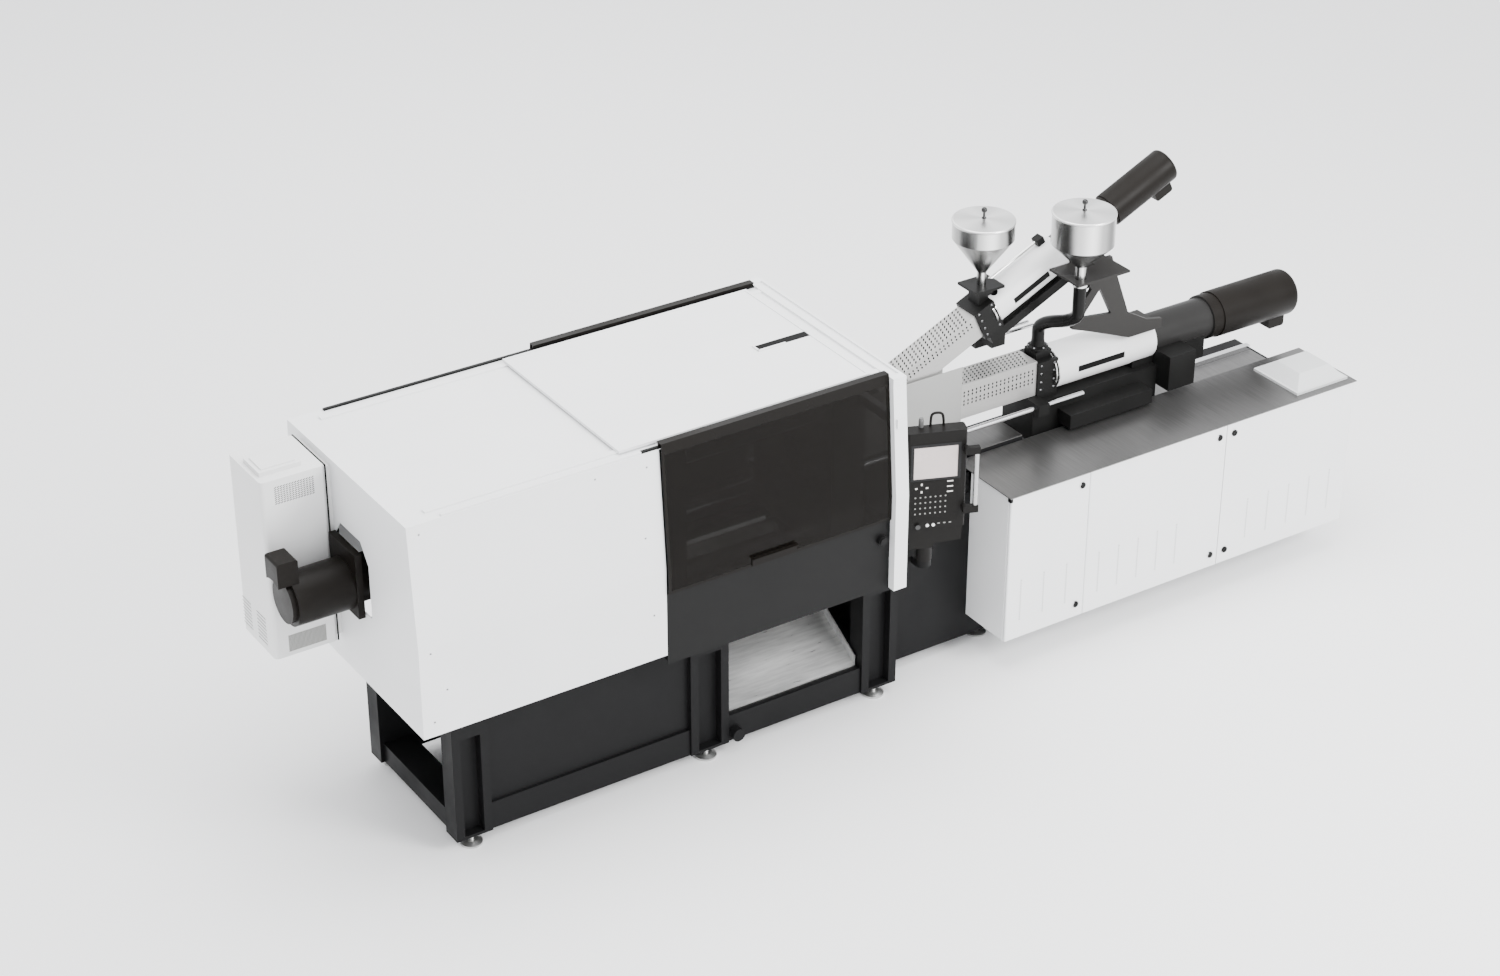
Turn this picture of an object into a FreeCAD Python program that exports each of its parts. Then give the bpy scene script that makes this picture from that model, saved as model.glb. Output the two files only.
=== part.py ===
import FreeCAD, Part
import math
import os

os.makedirs("parts", exist_ok=True)
V = FreeCAD.Vector

# ---- driving dimensions, mm.  x = 0 is the clamp housing's left end ----
barrel_z = 1335.0            # height of the clamp and injection axis
clamp_len = 2588.0           # housing end to portal frame
housing_len = 1303.0         # white side panel length
roof_z = 1950.0
side_y = 645.0               # half width at the waist
roof_y = 596.0               # half width at the roof
waist_z = 1327.0
skirt_z = 853.0              # lower edge of the housing
apron_z = 800.0              # lower edge of the dark aprons
door_z = 1197.0              # lower edge of the sliding doors
sheet = 4.0                  # sheet metal thickness
base_x0 = 234.0
base_x1 = 2792.0
base_y = 449.0
foot_h = 60.0
base_top = 840.0
leg_x = [(234.0, 430.0), (1552.0, 1773.0), (2578.0, 2792.0)]
beam_h = 150.0
beam_w = 60.0
portal_t = 76.0
portal_y = 692.0
portal_top = roof_z + 12
inj_x1 = 5640.0
inj_y = 289.0
inj_top = 930.0
cab_x0 = 3356.0
cab_x1 = 5689.0
cab_y0 = -623.0
cab_z0 = 192.0
cab_z1 = 1050.0
cab_door_x = [3356.0, 3868.0, 4787.0, 5689.0]
door_t = 18.0
slide_gap = 0.3              # between faces that slide on each other
fit_gap = 0.05               # radial running clearance of shafts
platen_y = 350.0
platen_z0 = 900.0
platen_z1 = 1770.0
fixed_x0 = 2440.0
moving_x0 = 1430.0
moving_t = 170.0
tie_r = 42.0
tie_y = 275.0
tie_dz = 330.0
clamp_screw_r = 40.0
stroke = 500.0
unit_angle = 25.0            # inclination of the second injection unit
unit_x0 = 2660.0
carriage_travel = 250.0
unit2_travel = 180.0
rod_y = 150.0
rod_z = 1206.0
rod_r = 14.0
prop_z = 1540.0              # height of the prop rods of the inclined unit
prop_y = [108.0, 152.0]
prop_r = 9.0
hopper1_x = 3593.0
hopper1_z = 1940.0
hopper2_x = 4000.0
hopper2_y = -292.0
hopper2_z = 1970.0
hose_r = 30.0
left_end = -397.0            # back of the clamp motor's terminal box
nodes = {}


def box(x0, x1, y0, y1, z0, z1):
    return Part.makeBox(x1 - x0, y1 - y0, z1 - z0, V(x0, y0, z0))


def cyl(x, y, z, r, length, d=(1, 0, 0)):
    return Part.makeCylinder(r, length, V(x, y, z), V(*d))


def cone(x, y, z, r0, r1, h, d=(0, 0, 1)):
    return Part.makeCone(r0, r1, h, V(x, y, z), V(*d))


def prism_x(points, x0, x1):
    """Profile of (y, z) points drawn out along x."""
    pts = [V(x0, y, z) for y, z in points]
    return Part.Face(Part.makePolygon(pts + [pts[0]])).extrude(V(x1 - x0, 0, 0))


def prism_y(points, y0, y1):
    """Profile of (x, z) points drawn out along y."""
    pts = [V(x, y0, z) for x, z in points]
    return Part.Face(Part.makePolygon(pts + [pts[0]])).extrude(V(0, y1 - y0, 0))


def soften(shape, r, pick):
    """Round the edges that pick(edge) chooses."""
    edges = [e for e in shape.Edges if pick(e)]
    return shape.makeFillet(r, edges) if edges else shape


def along(axis):
    """An edge chooser: straight edges parallel to axis."""
    def test(e):
        if len(e.Vertexes) != 2:
            return False
        d = e.Vertexes[1].Point - e.Vertexes[0].Point
        return d.Length > 1e-6 and abs(d.normalize().dot(V(*axis))) > 0.999
    return test


def mirror_y(shape):
    return shape.mirror(V(0, 0, 0), V(0, 1, 0))


def save(name, *shapes):
    nodes.setdefault(name, []).extend(shapes)


def on_unit2(shape):
    """Local frame of an injection unit (x along its axis) to the inclined one."""
    s = shape.copy()
    s.rotate(V(0, 0, 0), V(0, 1, 0), -unit_angle)
    s.translate(V(unit_x0, 0, barrel_z))
    return s


def on_unit1(shape):
    s = shape.copy()
    s.translate(V(unit_x0, 0, barrel_z))
    return s


# ---- machine base: legs, beams, feet ----
def make_leg(x0, x1):
    leg = box(x0, x1, -base_y, -base_y + 110, foot_h, base_top)
    return leg.cut(box(x0 + 45, x1 - 45, -base_y - 1, -base_y + 50, foot_h + 16, base_top - 210))


def make_base():
    legs = []
    for x0, x1 in leg_x:
        leg = make_leg(x0, x1)
        legs += [leg, mirror_y(leg)]
    save("base_frame", *legs)
    beams = []
    for (a0, a1), (b0, b1) in zip(leg_x, leg_x[1:]):
        for z0, z1 in ((foot_h, foot_h + beam_h), (base_top - 110, base_top)):
            front = box(a1, b0, -base_y + 12, -base_y + 12 + beam_w, z0, z1)
            beams += [front, mirror_y(front)]
    save("base_frame", *beams)
    cross = []
    for x0, x1 in leg_x:
        for z0, z1 in ((foot_h, foot_h + 110), (base_top - 110, base_top)):
            cross.append(box(x0 + 20, x1 - 20, -base_y + 110, base_y - 110, z0, z1))
    save("base_frame", *cross)
    x0, x1 = leg_x[0][1], leg_x[1][0]
    skin = box(x0, x1, -base_y + 30, -base_y + 36, foot_h + beam_h, base_top - 110)
    save("base_frame", skin, mirror_y(skin))
    bars = []
    for x in (leg_x[1][1] + 36, leg_x[2][0] - 60):
        bar = cyl(x, -base_y + 12, foot_h + 52, 35, 52, (0, -1, 0))
        bars += [bar, mirror_y(bar)]
    save("base_frame", *bars[:2])
    track = box(leg_x[0][0] + 40, leg_x[2][0] + 60, -platen_y + 20, -platen_y + 90, base_top, base_top + 24)
    save("base_frame", track, mirror_y(track))


def make_foot(x, y):
    foot = cyl(x, y, 0, 56, 10, (0, 0, 1)).fuse(cone(x, y, 10, 56, 30, 12))
    foot = foot.fuse(cyl(x, y, 20, 13, foot_h - 20, (0, 0, 1)))
    return foot.fuse(cyl(x, y, foot_h - 20, 22, 20, (0, 0, 1))).removeSplitter()


def make_feet():
    feet = []
    for x in (332.0, 1662.0, 2684.0):
        feet += [make_foot(x, -404), make_foot(x, 404)]
    for x in (3480.0, 5480.0):
        feet += [make_foot(x, -220), make_foot(x, 220)]
    save("levelling_feet", *feet)


def make_chute():
    # stainless slide under the mould space, high at the rear, low at the front
    x0, x1 = leg_x[1][1], leg_x[2][0]
    z0 = foot_h + beam_h
    top = [(-400, z0 + 6), (-400, z0), (333, 640), (333, 646)]
    slide = prism_x(top, x0 + 14, x1 - 14)
    lip = [(-400, z0), (-400, z0 + 60), (333, 700), (333, 640)]
    for a in (x0 + 8, x1 - 14):
        slide = slide.fuse(prism_x(lip, a, a + 6))
    rear = box(x0 - 20, x1 + 20, 333, 339, foot_h + beam_h, base_top - 110)
    save("parts_chute", slide.removeSplitter())
    save("parts_chute", rear)


# ---- clamp housing ----
def side_profile(off, z0, z1):
    """Sheet following the kinked side; off moves it outwards (-y side)."""
    def y_at(z):
        if z <= waist_z:
            return -side_y - off
        return -side_y - off + (side_y - roof_y) * (z - waist_z) / (roof_z - waist_z)
    zs = [z0] + ([waist_z] if z0 < waist_z < z1 else []) + [z1]
    outer = [(y_at(z), z) for z in zs]
    inner = [(y_at(z) + sheet, z) for z in reversed(zs)]
    return outer + inner


def make_housing():
    front = prism_x(side_profile(0, skirt_z, roof_z), 0, housing_len)
    save("housing_panels", front)
    save("housing_panels", mirror_y(front))
    pts = [(-side_y + sheet, skirt_z), (-side_y + sheet, waist_z), (-roof_y + sheet, roof_z - sheet)]
    pts += [(roof_y - sheet, roof_z - sheet), (side_y - sheet, waist_z), (side_y - sheet, skirt_z)]
    end = prism_x(pts, 0, sheet)
    hole = [(-184, 1262), (-184, 1541), (-112, 1640), (90, 1640), (160, 1541), (160, 1262)]
    save("housing_panels", end.cut(prism_x(hole, -1, sheet + 1)))
    roof = box(0, clamp_len, -roof_y + sheet, roof_y - sheet, roof_z - sheet, roof_z)
    roof = roof.cut(box(1500, clamp_len - 90, -440, 440, roof_z - 20, roof_z + 1))
    save("roof_panel", roof)
    bulk = [(-side_y + sheet, skirt_z), (-side_y + sheet, skirt_z + 60), (side_y - sheet, skirt_z + 60)]
    bulk += [(side_y - sheet, skirt_z)]
    carriers = [prism_x(bulk, x, x + 40) for x in (70, 700, 1240)]
    carriers = [c.cut(box(0, 3000, -base_y + 60, base_y - 60, 0, 3000)) for c in carriers]
    pieces = []
    for c in carriers:
        pieces += c.Solids
    save("housing_frame", *pieces)
    posts = []
    for x in (150.0, 1262.0):
        posts += [box(x, x + 36, -560, -524, skirt_z + 60, roof_z - sheet)]
        posts += [box(x, x + 36, 524, 560, skirt_z + 60, roof_z - sheet)]
    save("housing_frame", *posts)
    rail = box(180, clamp_len, -roof_y + 6, -roof_y + 22, roof_z, roof_z + 10)
    save("housing_frame", rail, mirror_y(rail))
    runner = box(130, clamp_len, -530, -500, roof_z, roof_z + 8)
    save("roof_panel", runner, mirror_y(runner))


def make_aprons():
    body = prism_x(side_profile(0, apron_z, door_z), housing_len + 0.5, clamp_len)
    shelf = box(housing_len + 0.5, clamp_len, -side_y + sheet, -base_y, base_top - 20, base_top)
    save("side_aprons", body, mirror_y(body), shelf, mirror_y(shelf))
    knob = cyl(2536, -side_y, 1091, 26, 22, (0, -1, 0)).fuse(cyl(2536, -side_y - 22, 1091, 20, 8, (0, -1, 0)))
    save("side_aprons", knob.removeSplitter())


def make_portal():
    """Welded hoop round the fixed platen: two kinked legs and a grooved top bar."""
    x0, x1 = clamp_len, clamp_len + portal_t
    wall = 46.0
    lean = 47.0
    low = box(x0, x1, -portal_y, -portal_y + wall, apron_z, waist_z)
    top_z = portal_top - wall
    pts = [(-portal_y, waist_z), (-portal_y + wall, waist_z), (-portal_y + lean + wall, top_z), (-portal_y + lean, top_z)]
    high = prism_x(pts, x0, x1)
    save("portal_frame", low, mirror_y(low), high, mirror_y(high))
    bar = box(x0, x1, -portal_y + lean, portal_y - lean, top_z, portal_top)
    bar = bar.cut(box(x0 + 14, x1 - 14, -600, 600, portal_top - 10, portal_top + 1))
    save("portal_frame", bar)
    arms = []
    for z in (skirt_z + 20, 1700.0):
        arm = box(x0 + 12, x0 + 50, -portal_y + 20, -platen_y, z, z + 50).cut(low).cut(high)
        arms += [arm, mirror_y(arm)]
    save("portal_frame", *arms)


# ---- sliding doors and roof cover ----
def make_door():
    """Dark door with a window, its top bent over the roof's edge."""
    x0, x1 = housing_len + 4, clamp_len - 3
    off = 16.0
    prof = side_profile(off, door_z + slide_gap, roof_z + 30)
    skin = prism_x(prof, x0, x1)
    lean = (side_y - roof_y) * 30 / (roof_z - waist_z)
    top_y = -roof_y - off + lean
    skin = skin.fuse(box(x0, x1, top_y + sheet, -roof_y + 26, roof_z + 26, roof_z + 30))
    skin = skin.fuse(box(x0, x1, -roof_y + 10, -roof_y + 18, roof_z + 10 + slide_gap, roof_z + 26))
    window = box(x0 + 14, x1 - 14, -900, -roof_y - 6, door_z + 16, roof_z - 26)
    frame = skin.cut(window).removeSplitter()
    pane = prism_x(side_profile(off, door_z + 16, roof_z - 26), x0 + 14, x1 - 14)
    return frame, pane


def make_doors():
    frame, pane = make_door()
    save("front_door", frame)
    save("rear_door", mirror_y(frame))
    save("front_door_window", pane)
    save("rear_door_window", mirror_y(pane))
    y = -side_y - 16
    grip = box(1770, 2024, y - 6, y, door_z + 4, door_z + 52)
    grip = grip.fuse(box(1770, 2024, y - 24, y - 6, door_z + 46, door_z + 52)).removeSplitter()
    save("front_door", grip)
    save("rear_door", mirror_y(grip))


def make_roof_cover():
    x0, x1, y = 1120.0, 2520.0, 545.0
    z0 = roof_z + 8 + slide_gap
    cover = box(x0, x1, -y, y, z0, z0 + 14)
    cover = cover.cut(box(x0 + 14, x1 - 14, -y + 14, y - 14, z0 + 10, z0 + 15))
    cover = cover.cut(box(2210, x1 + 1, -46, -6, z0 - 1, z0 + 20))
    save("roof_cover", cover)


# ---- clamp unit inside the housing ----
def make_clamp():
    z0 = base_top + 24
    bore = tie_r + fit_gap
    ties = []
    for y in (-tie_y, tie_y):
        for z in (barrel_z - tie_dz, barrel_z + tie_dz):
            ties.append(cyl(360, y, z, tie_r, clamp_len + 40 - 360))
    save("tie_bars", *ties)
    rear = box(400, 560, -platen_y, platen_y, z0, platen_z1)
    rear = rear.cut(cyl(390, 0, barrel_z, 62, 200))
    fixed = box(fixed_x0, clamp_len + 50, -platen_y, platen_y, z0, platen_z1)
    fixed = fixed.cut(cyl(fixed_x0 - 1, 0, barrel_z, 62.5, 60))
    fixed = fixed.cut(cyl(fixed_x0, 0, barrel_z, 60, 220).fuse(cone(2500, 0, barrel_z, 60, 120, 140, (1, 0, 0))))
    for y in (-rod_y, rod_y):
        fixed = fixed.cut(cyl(2560, y, rod_z, rod_r, 100))
    for y in prop_y:
        fixed = fixed.cut(cyl(2560, y, prop_z, prop_r, 100))
    moving = box(moving_x0, moving_x0 + moving_t, -platen_y, platen_y, z0 + slide_gap, platen_z1)
    moving = moving.cut(cyl(moving_x0 - 1, 0, barrel_z, 30, 220))
    for t in ties:
        c = t.BoundBox.Center
        hole = cyl(300, c.y, c.z, tie_r, 2400)
        rear = rear.cut(hole)
        fixed = fixed.cut(hole)
        moving = moving.cut(cyl(moving_x0 - 1, c.y, c.z, bore, moving_t + 2))
    save("rear_platen", rear)
    save("fixed_platen", fixed)
    save("moving_platen", moving)
    nuts = []
    for t in ties:
        c = t.BoundBox.Center
        nuts.append(cyl(360, c.y, c.z, 66, 40).cut(cyl(350, c.y, c.z, tie_r, 60)))
    save("tie_bars", *nuts)


def make_clamp_drive():
    save("clamp_screw", cyl(300, 0, barrel_z, clamp_screw_r, 1110))
    nut = cyl(800, 0, barrel_z, 86, 90).cut(cyl(790, 0, barrel_z, clamp_screw_r + fit_gap, 110))
    ram = cyl(890, 0, barrel_z, 86, moving_x0 - 890).cut(cyl(889, 0, barrel_z, 60, moving_x0))
    save("clamp_ram", nut)
    save("clamp_ram", ram)
    collar = cyl(400, 0, barrel_z, 61.5, 100).cut(cyl(399, 0, barrel_z, clamp_screw_r + fit_gap, 110))
    save("clamp_motor", collar)
    body = cyl(-330, 0, barrel_z + 45, 128, 290).fuse(cyl(-354, 0, barrel_z + 45, 108, 26))
    body = body.fuse(cyl(-40, 0, barrel_z + 45, 112, 440).cut(cyl(230, 0, barrel_z, clamp_screw_r + 6, 200)))
    save("clamp_motor", body.removeSplitter())
    flange = box(-42, -8, -132, 132, barrel_z - 90, barrel_z + 250).cut(cyl(-60, 0, barrel_z + 45, 128.2, 90))
    save("clamp_motor", flange)
    term = box(left_end, -292, -64, 64, barrel_z + 130, barrel_z + 282)
    term = term.cut(cyl(-420, 0, barrel_z + 45, 128.2, 200))
    save("clamp_motor", soften(term, 12, along((0, 1, 0))))
    pins = []
    for y, z in ((-90, -90), (90, -90), (-90, 90), (90, 90)):
        pins.append((y, z + barrel_z))
    plate = box(moving_x0 - 150, moving_x0 - 120, -130, 130, barrel_z - 130, barrel_z + 130)
    plate = plate.cut(cyl(1200, 0, barrel_z, 86.5, 200))
    ej = plate
    for y, z in pins:
        ej = ej.fuse(cyl(moving_x0 - 120, y, z, 14, 120 + moving_t - 4))
    save("ejector", ej.removeSplitter())
    m = nodes["moving_platen"][0]
    for y, z in pins:
        m = m.cut(cyl(moving_x0 - 1, y, z, 14 + fit_gap, moving_t + 2))
    nodes["moving_platen"] = [m]


# ---- end cabinet at the left ----
def make_left_cabinet():
    x0, x1, y0, y1, z0, z1 = -355.0, -31.0, 140.0, 484.0, 985.0, 1930.0
    body = soften(box(x0, x1, y0, y1, z0, z1), 22, along((0, 0, 1)))
    hollow = soften(box(x0 + 3, x1 - 3, y0 + 3, y1 - 3, z0 + 3, z1 - 3), 22 - 3, along((0, 0, 1)))
    save("left_cabinet", body.cut(hollow))
    spacer = box(x1, 0, y0 + 20, y1 - 20, z0 + 20, z1 - 20)
    save("left_cabinet", spacer)
    cap = box(-330, -120, 200, 370, z1, z1 + 20).fuse(box(-310, -140, 220, 350, z1 + 20, z1 + 26))
    save("left_cabinet", cap.removeSplitter())


# ---- injection base, bed and control cabinet ----
def make_injection_base():
    body = box(base_x1, inj_x1, -inj_y, inj_y, foot_h, inj_top)
    save("injection_base", body.cut(box(base_x1 + 8, inj_x1 - 8, -inj_y + 8, inj_y - 8, foot_h + 8, inj_top - 8)))
    rail = box(3430, inj_x1 - 20, -175, -141, inj_top, inj_top + 30)
    save("guide_rails", rail, mirror_y(rail))
    save("steel_tops", box(3430, inj_x1 - 20, -140, 140, inj_top, inj_top + 3))
    shelf = box(base_x1 + 10, 3340, -inj_y + 10, inj_y - 10, inj_top, inj_top + 40)
    save("injection_base", shelf)
    block = box(3440, 3780, -160, 20, 1012, 1074)
    save("injection_base", block.fuse(box(3460, 3760, -100, 10, inj_top + 3, 1012)).removeSplitter())
    save("steel_tops", box(3440, 3780, -160, 20, 1074, 1080))


def make_cabinet():
    x0, x1, y0 = cab_x0, cab_x1, cab_y0 + door_t + 0.5
    t = 20.0
    shell = box(x0, x1, y0, -inj_y, cab_z0, cab_z1)
    for a, b in zip(cab_door_x, cab_door_x[1:]):
        shell = shell.cut(box(a + t, b - t, y0 - 1, -inj_y - 4, cab_z0 + t, cab_z1 - t))
    save("cabinet_carcass", shell)
    save("steel_tops", box(x0 - 6, x1 + 6, cab_y0 - 6, -165, cab_z1, cab_z1 + 5))
    gap = 2.5
    for i, (a, b) in enumerate(zip(cab_door_x, cab_door_x[1:]), 1):
        rh = door_t / 2
        left = a + gap + (rh if i < 3 else 0)
        right = b - gap - (0 if i < 3 else rh)
        door = box(left, right, cab_y0, cab_y0 + door_t, cab_z0 + 2, cab_z1 - 3)
        edge = cyl(left if i < 3 else right, cab_y0 + rh, cab_z0 + 2, rh, cab_z1 - cab_z0 - 5, (0, 0, 1))
        door = door.fuse(edge).removeSplitter()
        save("cabinet_door_%d" % i, door)
        lx = b - 52 if i < 3 else a + 52
        locks = [cyl(lx, cab_y0, z, 17, 7, (0, -1, 0)) for z in (cab_z0 + 78, cab_z1 - 62)]
        save("cabinet_door_%d" % i, *locks)
    zc = cab_z1 + 5
    save("vent_cap", box(5305, 5665, -585, -235, zc, zc + 14))
    low = Part.makePolygon([V(5318, -572, zc + 14), V(5652, -572, zc + 14), V(5652, -248, zc + 14),
                            V(5318, -248, zc + 14), V(5318, -572, zc + 14)])
    top = Part.makePolygon([V(5390, -500, zc + 74), V(5600, -500, zc + 74), V(5600, -320, zc + 74),
                            V(5390, -320, zc + 74), V(5390, -500, zc + 74)])
    save("vent_cap", Part.makeLoft([low, top], True, True))


# ---- control panel on its swivel arm ----
panel_turn = -22.0
panel_x = 2800.0
panel_y = -640.0


def panel_place(shape):
    s = shape.copy()
    s.rotate(V(panel_x, panel_y, 0), V(0, 0, 1), panel_turn)
    return s


def make_control_panel():
    px, py = panel_x, panel_y
    arm = box(2700, 2900, -600, -inj_y, 860, 900).fuse(box(px - 40, px + 40, py - 10, -560, 860, 900))
    arm = arm.fuse(cyl(px, py, 860, 40, 44, (0, 0, 1))).fuse(cyl(px, py, 900, 22, 90, (0, 0, 1)))
    save("panel_arm", arm.removeSplitter())
    tubes = [cyl(x, -340, 560, 11, 300, (0, 0, 1)) for x in (2870.0, 2902.0)]
    save("panel_arm", *tubes)
    x0, x1, yf, yb = px - 110, px + 190, py - 62, py + 20
    chin = [(x0 + 10, 1100), (x1 - 10, 1100), (x1 - 14, 1018), (x0 + 150, 1008), (x0 + 138, 985), (x0 + 12, 985)]
    low = prism_y(chin, yf + 8, yb - 4).cut(cyl(px, py, 980, 22 + fit_gap, 55, (0, 0, 1)))
    hub = cyl(px, py - 12, 904 + slide_gap, 40, 96 - slide_gap, (0, 0, 1))
    hub = hub.cut(cyl(px, py, 900, 22 + fit_gap, 140, (0, 0, 1)))
    body = soften(box(x0, x1, yf, yb, 1100, 1640), 14, along((0, 0, 1)))
    screen_cut = box(x0 + 34, x0 + 254, yf - 1, yf + 3, 1385, 1560)
    keys_cut = box(x0 + 30, x0 + 262, yf - 1, yf + 2, 1140, 1370)
    body = body.cut(screen_cut).cut(keys_cut).fuse(low).fuse(hub).removeSplitter()
    bores = [(x0 + 60, 1122), (x0 + 110, 1122), (x0 + 140, 1122)]
    for bx, bz in bores:
        body = body.cut(cyl(bx, yf - 1, bz, 8 + fit_gap, 26, (0, 1, 0)))
    save("panel_housing", panel_place(body))
    save("panel_screen", panel_place(box(x0 + 34, x0 + 254, yf + 0.5, yf + 3, 1385, 1560)))
    save("panel_keypad", panel_place(box(x0 + 30, x0 + 262, yf - 1, yf + 2, 1140, 1370)))
    stop = cyl(bores[0][0], yf + 14, 1122, 8, 20, (0, -1, 0)).fuse(cyl(bores[0][0], yf - 6, 1122, 13, 9, (0, -1, 0)))
    save("emergency_stop", panel_place(stop.removeSplitter()))
    for i, (bx, bz) in enumerate(bores[1:], 1):
        save("push_button_%d" % i, panel_place(cyl(bx, yf + 14, bz, 8, 19, (0, -1, 0))))
    hx = x1 + 42
    handle = cyl(hx, yf - 24, 1205, 12, 350, (0, 0, 1))
    save("panel_housing", panel_place(handle))
    arms = []
    for z in (1205.0, 1533.0):
        a = box(x1 - 20, hx + 14, yf - 40, yf - 8, z - 14, z + 8 + 14)
        a = a.fuse(box(x1 - 20, x1, yf - 40, yf, z - 14, z + 22))
        arms.append(a.cut(cyl(hx, yf - 24, 1205, 12, 350, (0, 0, 1))).removeSplitter())
    save("panel_housing", *[panel_place(a) for a in arms])


# ---- injection units, drawn along a local x axis from the mould end ----
unit_dims = {
    1: dict(s0=-140, guard0=712, feed0=1260, feed1=1390, cover1=2040, rc=118, drive1=2440, rm=128, end=3043,
            gy=80, gz0=-98, gz1=100, barrel=46),
    2: dict(s0=253, guard0=420, feed0=965, feed1=1090, cover1=1560, rc=96, drive1=1850, rm=92, end=2335,
            gy=70, gz0=-70, gz1=70, barrel=38),
}


def unit_barrel(d):
    b = d["barrel"]
    tip = cone(d["s0"], 0, 0, 9, 22, 40, (1, 0, 0))
    body = tip.fuse(cyl(d["s0"] + 40, 0, 0, 22, 50)).fuse(cyl(d["s0"] + 90, 0, 0, b, d["feed0"] - d["s0"] - 90))
    return body.cut(cyl(d["s0"] + 120, 0, 0, b - 22, d["feed0"] - d["s0"])).removeSplitter()


def unit_bands(d):
    b = d["barrel"]
    out = []
    s = d["s0"] + 130
    while s < d["feed0"] - 90:
        out.append(cyl(s, 0, 0, b + 14, 70).cut(cyl(s - 1, 0, 0, b, 72)))
        s += 110
    return out


def unit_guard(d, wall=2.0):
    """Sheet channel round the barrel, open below, perforated in two rows."""
    s0, s1, y = d["guard0"], d["feed0"], d["gy"]
    g = box(s0, s1, -y, y, d["gz0"], d["gz1"])
    return g.cut(box(s0 - 1, s1 + 1, -y + wall, y - wall, d["gz0"] - 1, d["gz1"] - wall))


def unit_feed(d, wide):
    b = d["barrel"] - 22
    f = box(d["feed0"], d["feed1"], -wide, wide, -wide - 6, wide)
    return f.cut(cyl(d["feed0"] - 1, 0, 0, b, 400))


def unit_cover(d):
    r = d["rc"]
    c = cyl(d["feed1"], 0, 0, r, d["cover1"] - d["feed1"]).cut(cyl(d["feed1"] + 3, 0, 0, r - 3, 3000))
    c = c.cut(cyl(d["feed1"] - 1, 0, 0, d["barrel"], 20))
    a = d["feed1"] + (120 if r > 100 else 100)
    b = a + (310 if r > 100 else 240)
    return c.cut(box(a, b, -r - 5, -r * 0.6, -18, 18))


def unit_drive(d):
    r = d["rc"] - 8
    body = cyl(d["cover1"], 0, 0, r, d["drive1"] - d["cover1"])
    return body.cut(cyl(d["cover1"] - 1, 0, 0, 30 + fit_gap, 3000))


def unit_motor(d):
    r = d["rm"]
    s0 = d["drive1"]
    m = cyl(s0, 0, 0, r - 6, 70).fuse(cyl(s0 + 70, 0, 0, r, d["end"] - s0 - 70))
    m = soften(m.removeSplitter(), r * 0.22, lambda e: e.BoundBox.XMin > d["end"] - 1)
    bump = box(d["end"] - 150, d["end"] - 40, -r * 0.45, r * 0.45, -r - 46, -r * 0.6)
    m = m.fuse(soften(bump, 14, along((0, 1, 0))))
    return m.fuse(cyl(s0 + 40, 0, -r * 0.75, r * 0.3, 90)).removeSplitter()


def make_unit(n, place):
    d = unit_dims[n]
    wide = 92 if n == 1 else 84
    save("barrel_%d" % n, place(unit_barrel(d)))
    save("barrel_%d" % n, *[place(s) for s in unit_bands(d)])
    save("barrel_guard_%d" % n, place(unit_guard(d)))
    save("unit_cover_%d" % n, place(unit_cover(d)))
    save("unit_drive_%d" % n, place(unit_motor(d)))
    save("unit_drive_%d" % n, place(unit_drive(d)))
    feed = unit_feed(d, wide)
    save("feed_block_%d" % n, place(feed))
    shaft = cyl(d["cover1"] - 60, 0, 0, 30, 200)
    yoke = cyl(d["cover1"] - 240, 0, 0, d["rc"] - 20, 60).cut(cyl(d["cover1"] - 241, 0, 0, 24, 30))
    save("ram_%d" % n, place(yoke.fuse(shaft.fuse(cyl(d["cover1"] - 180, 0, 0, 30, 130))).removeSplitter()))
    b = d["barrel"] - 22 - 0.08
    screw = cyl(d["s0"] + 300, 0, 0, b, d["cover1"] - 211 - slide_gap - d["s0"] - 300)
    save("screw_%d" % n, place(screw))


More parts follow.
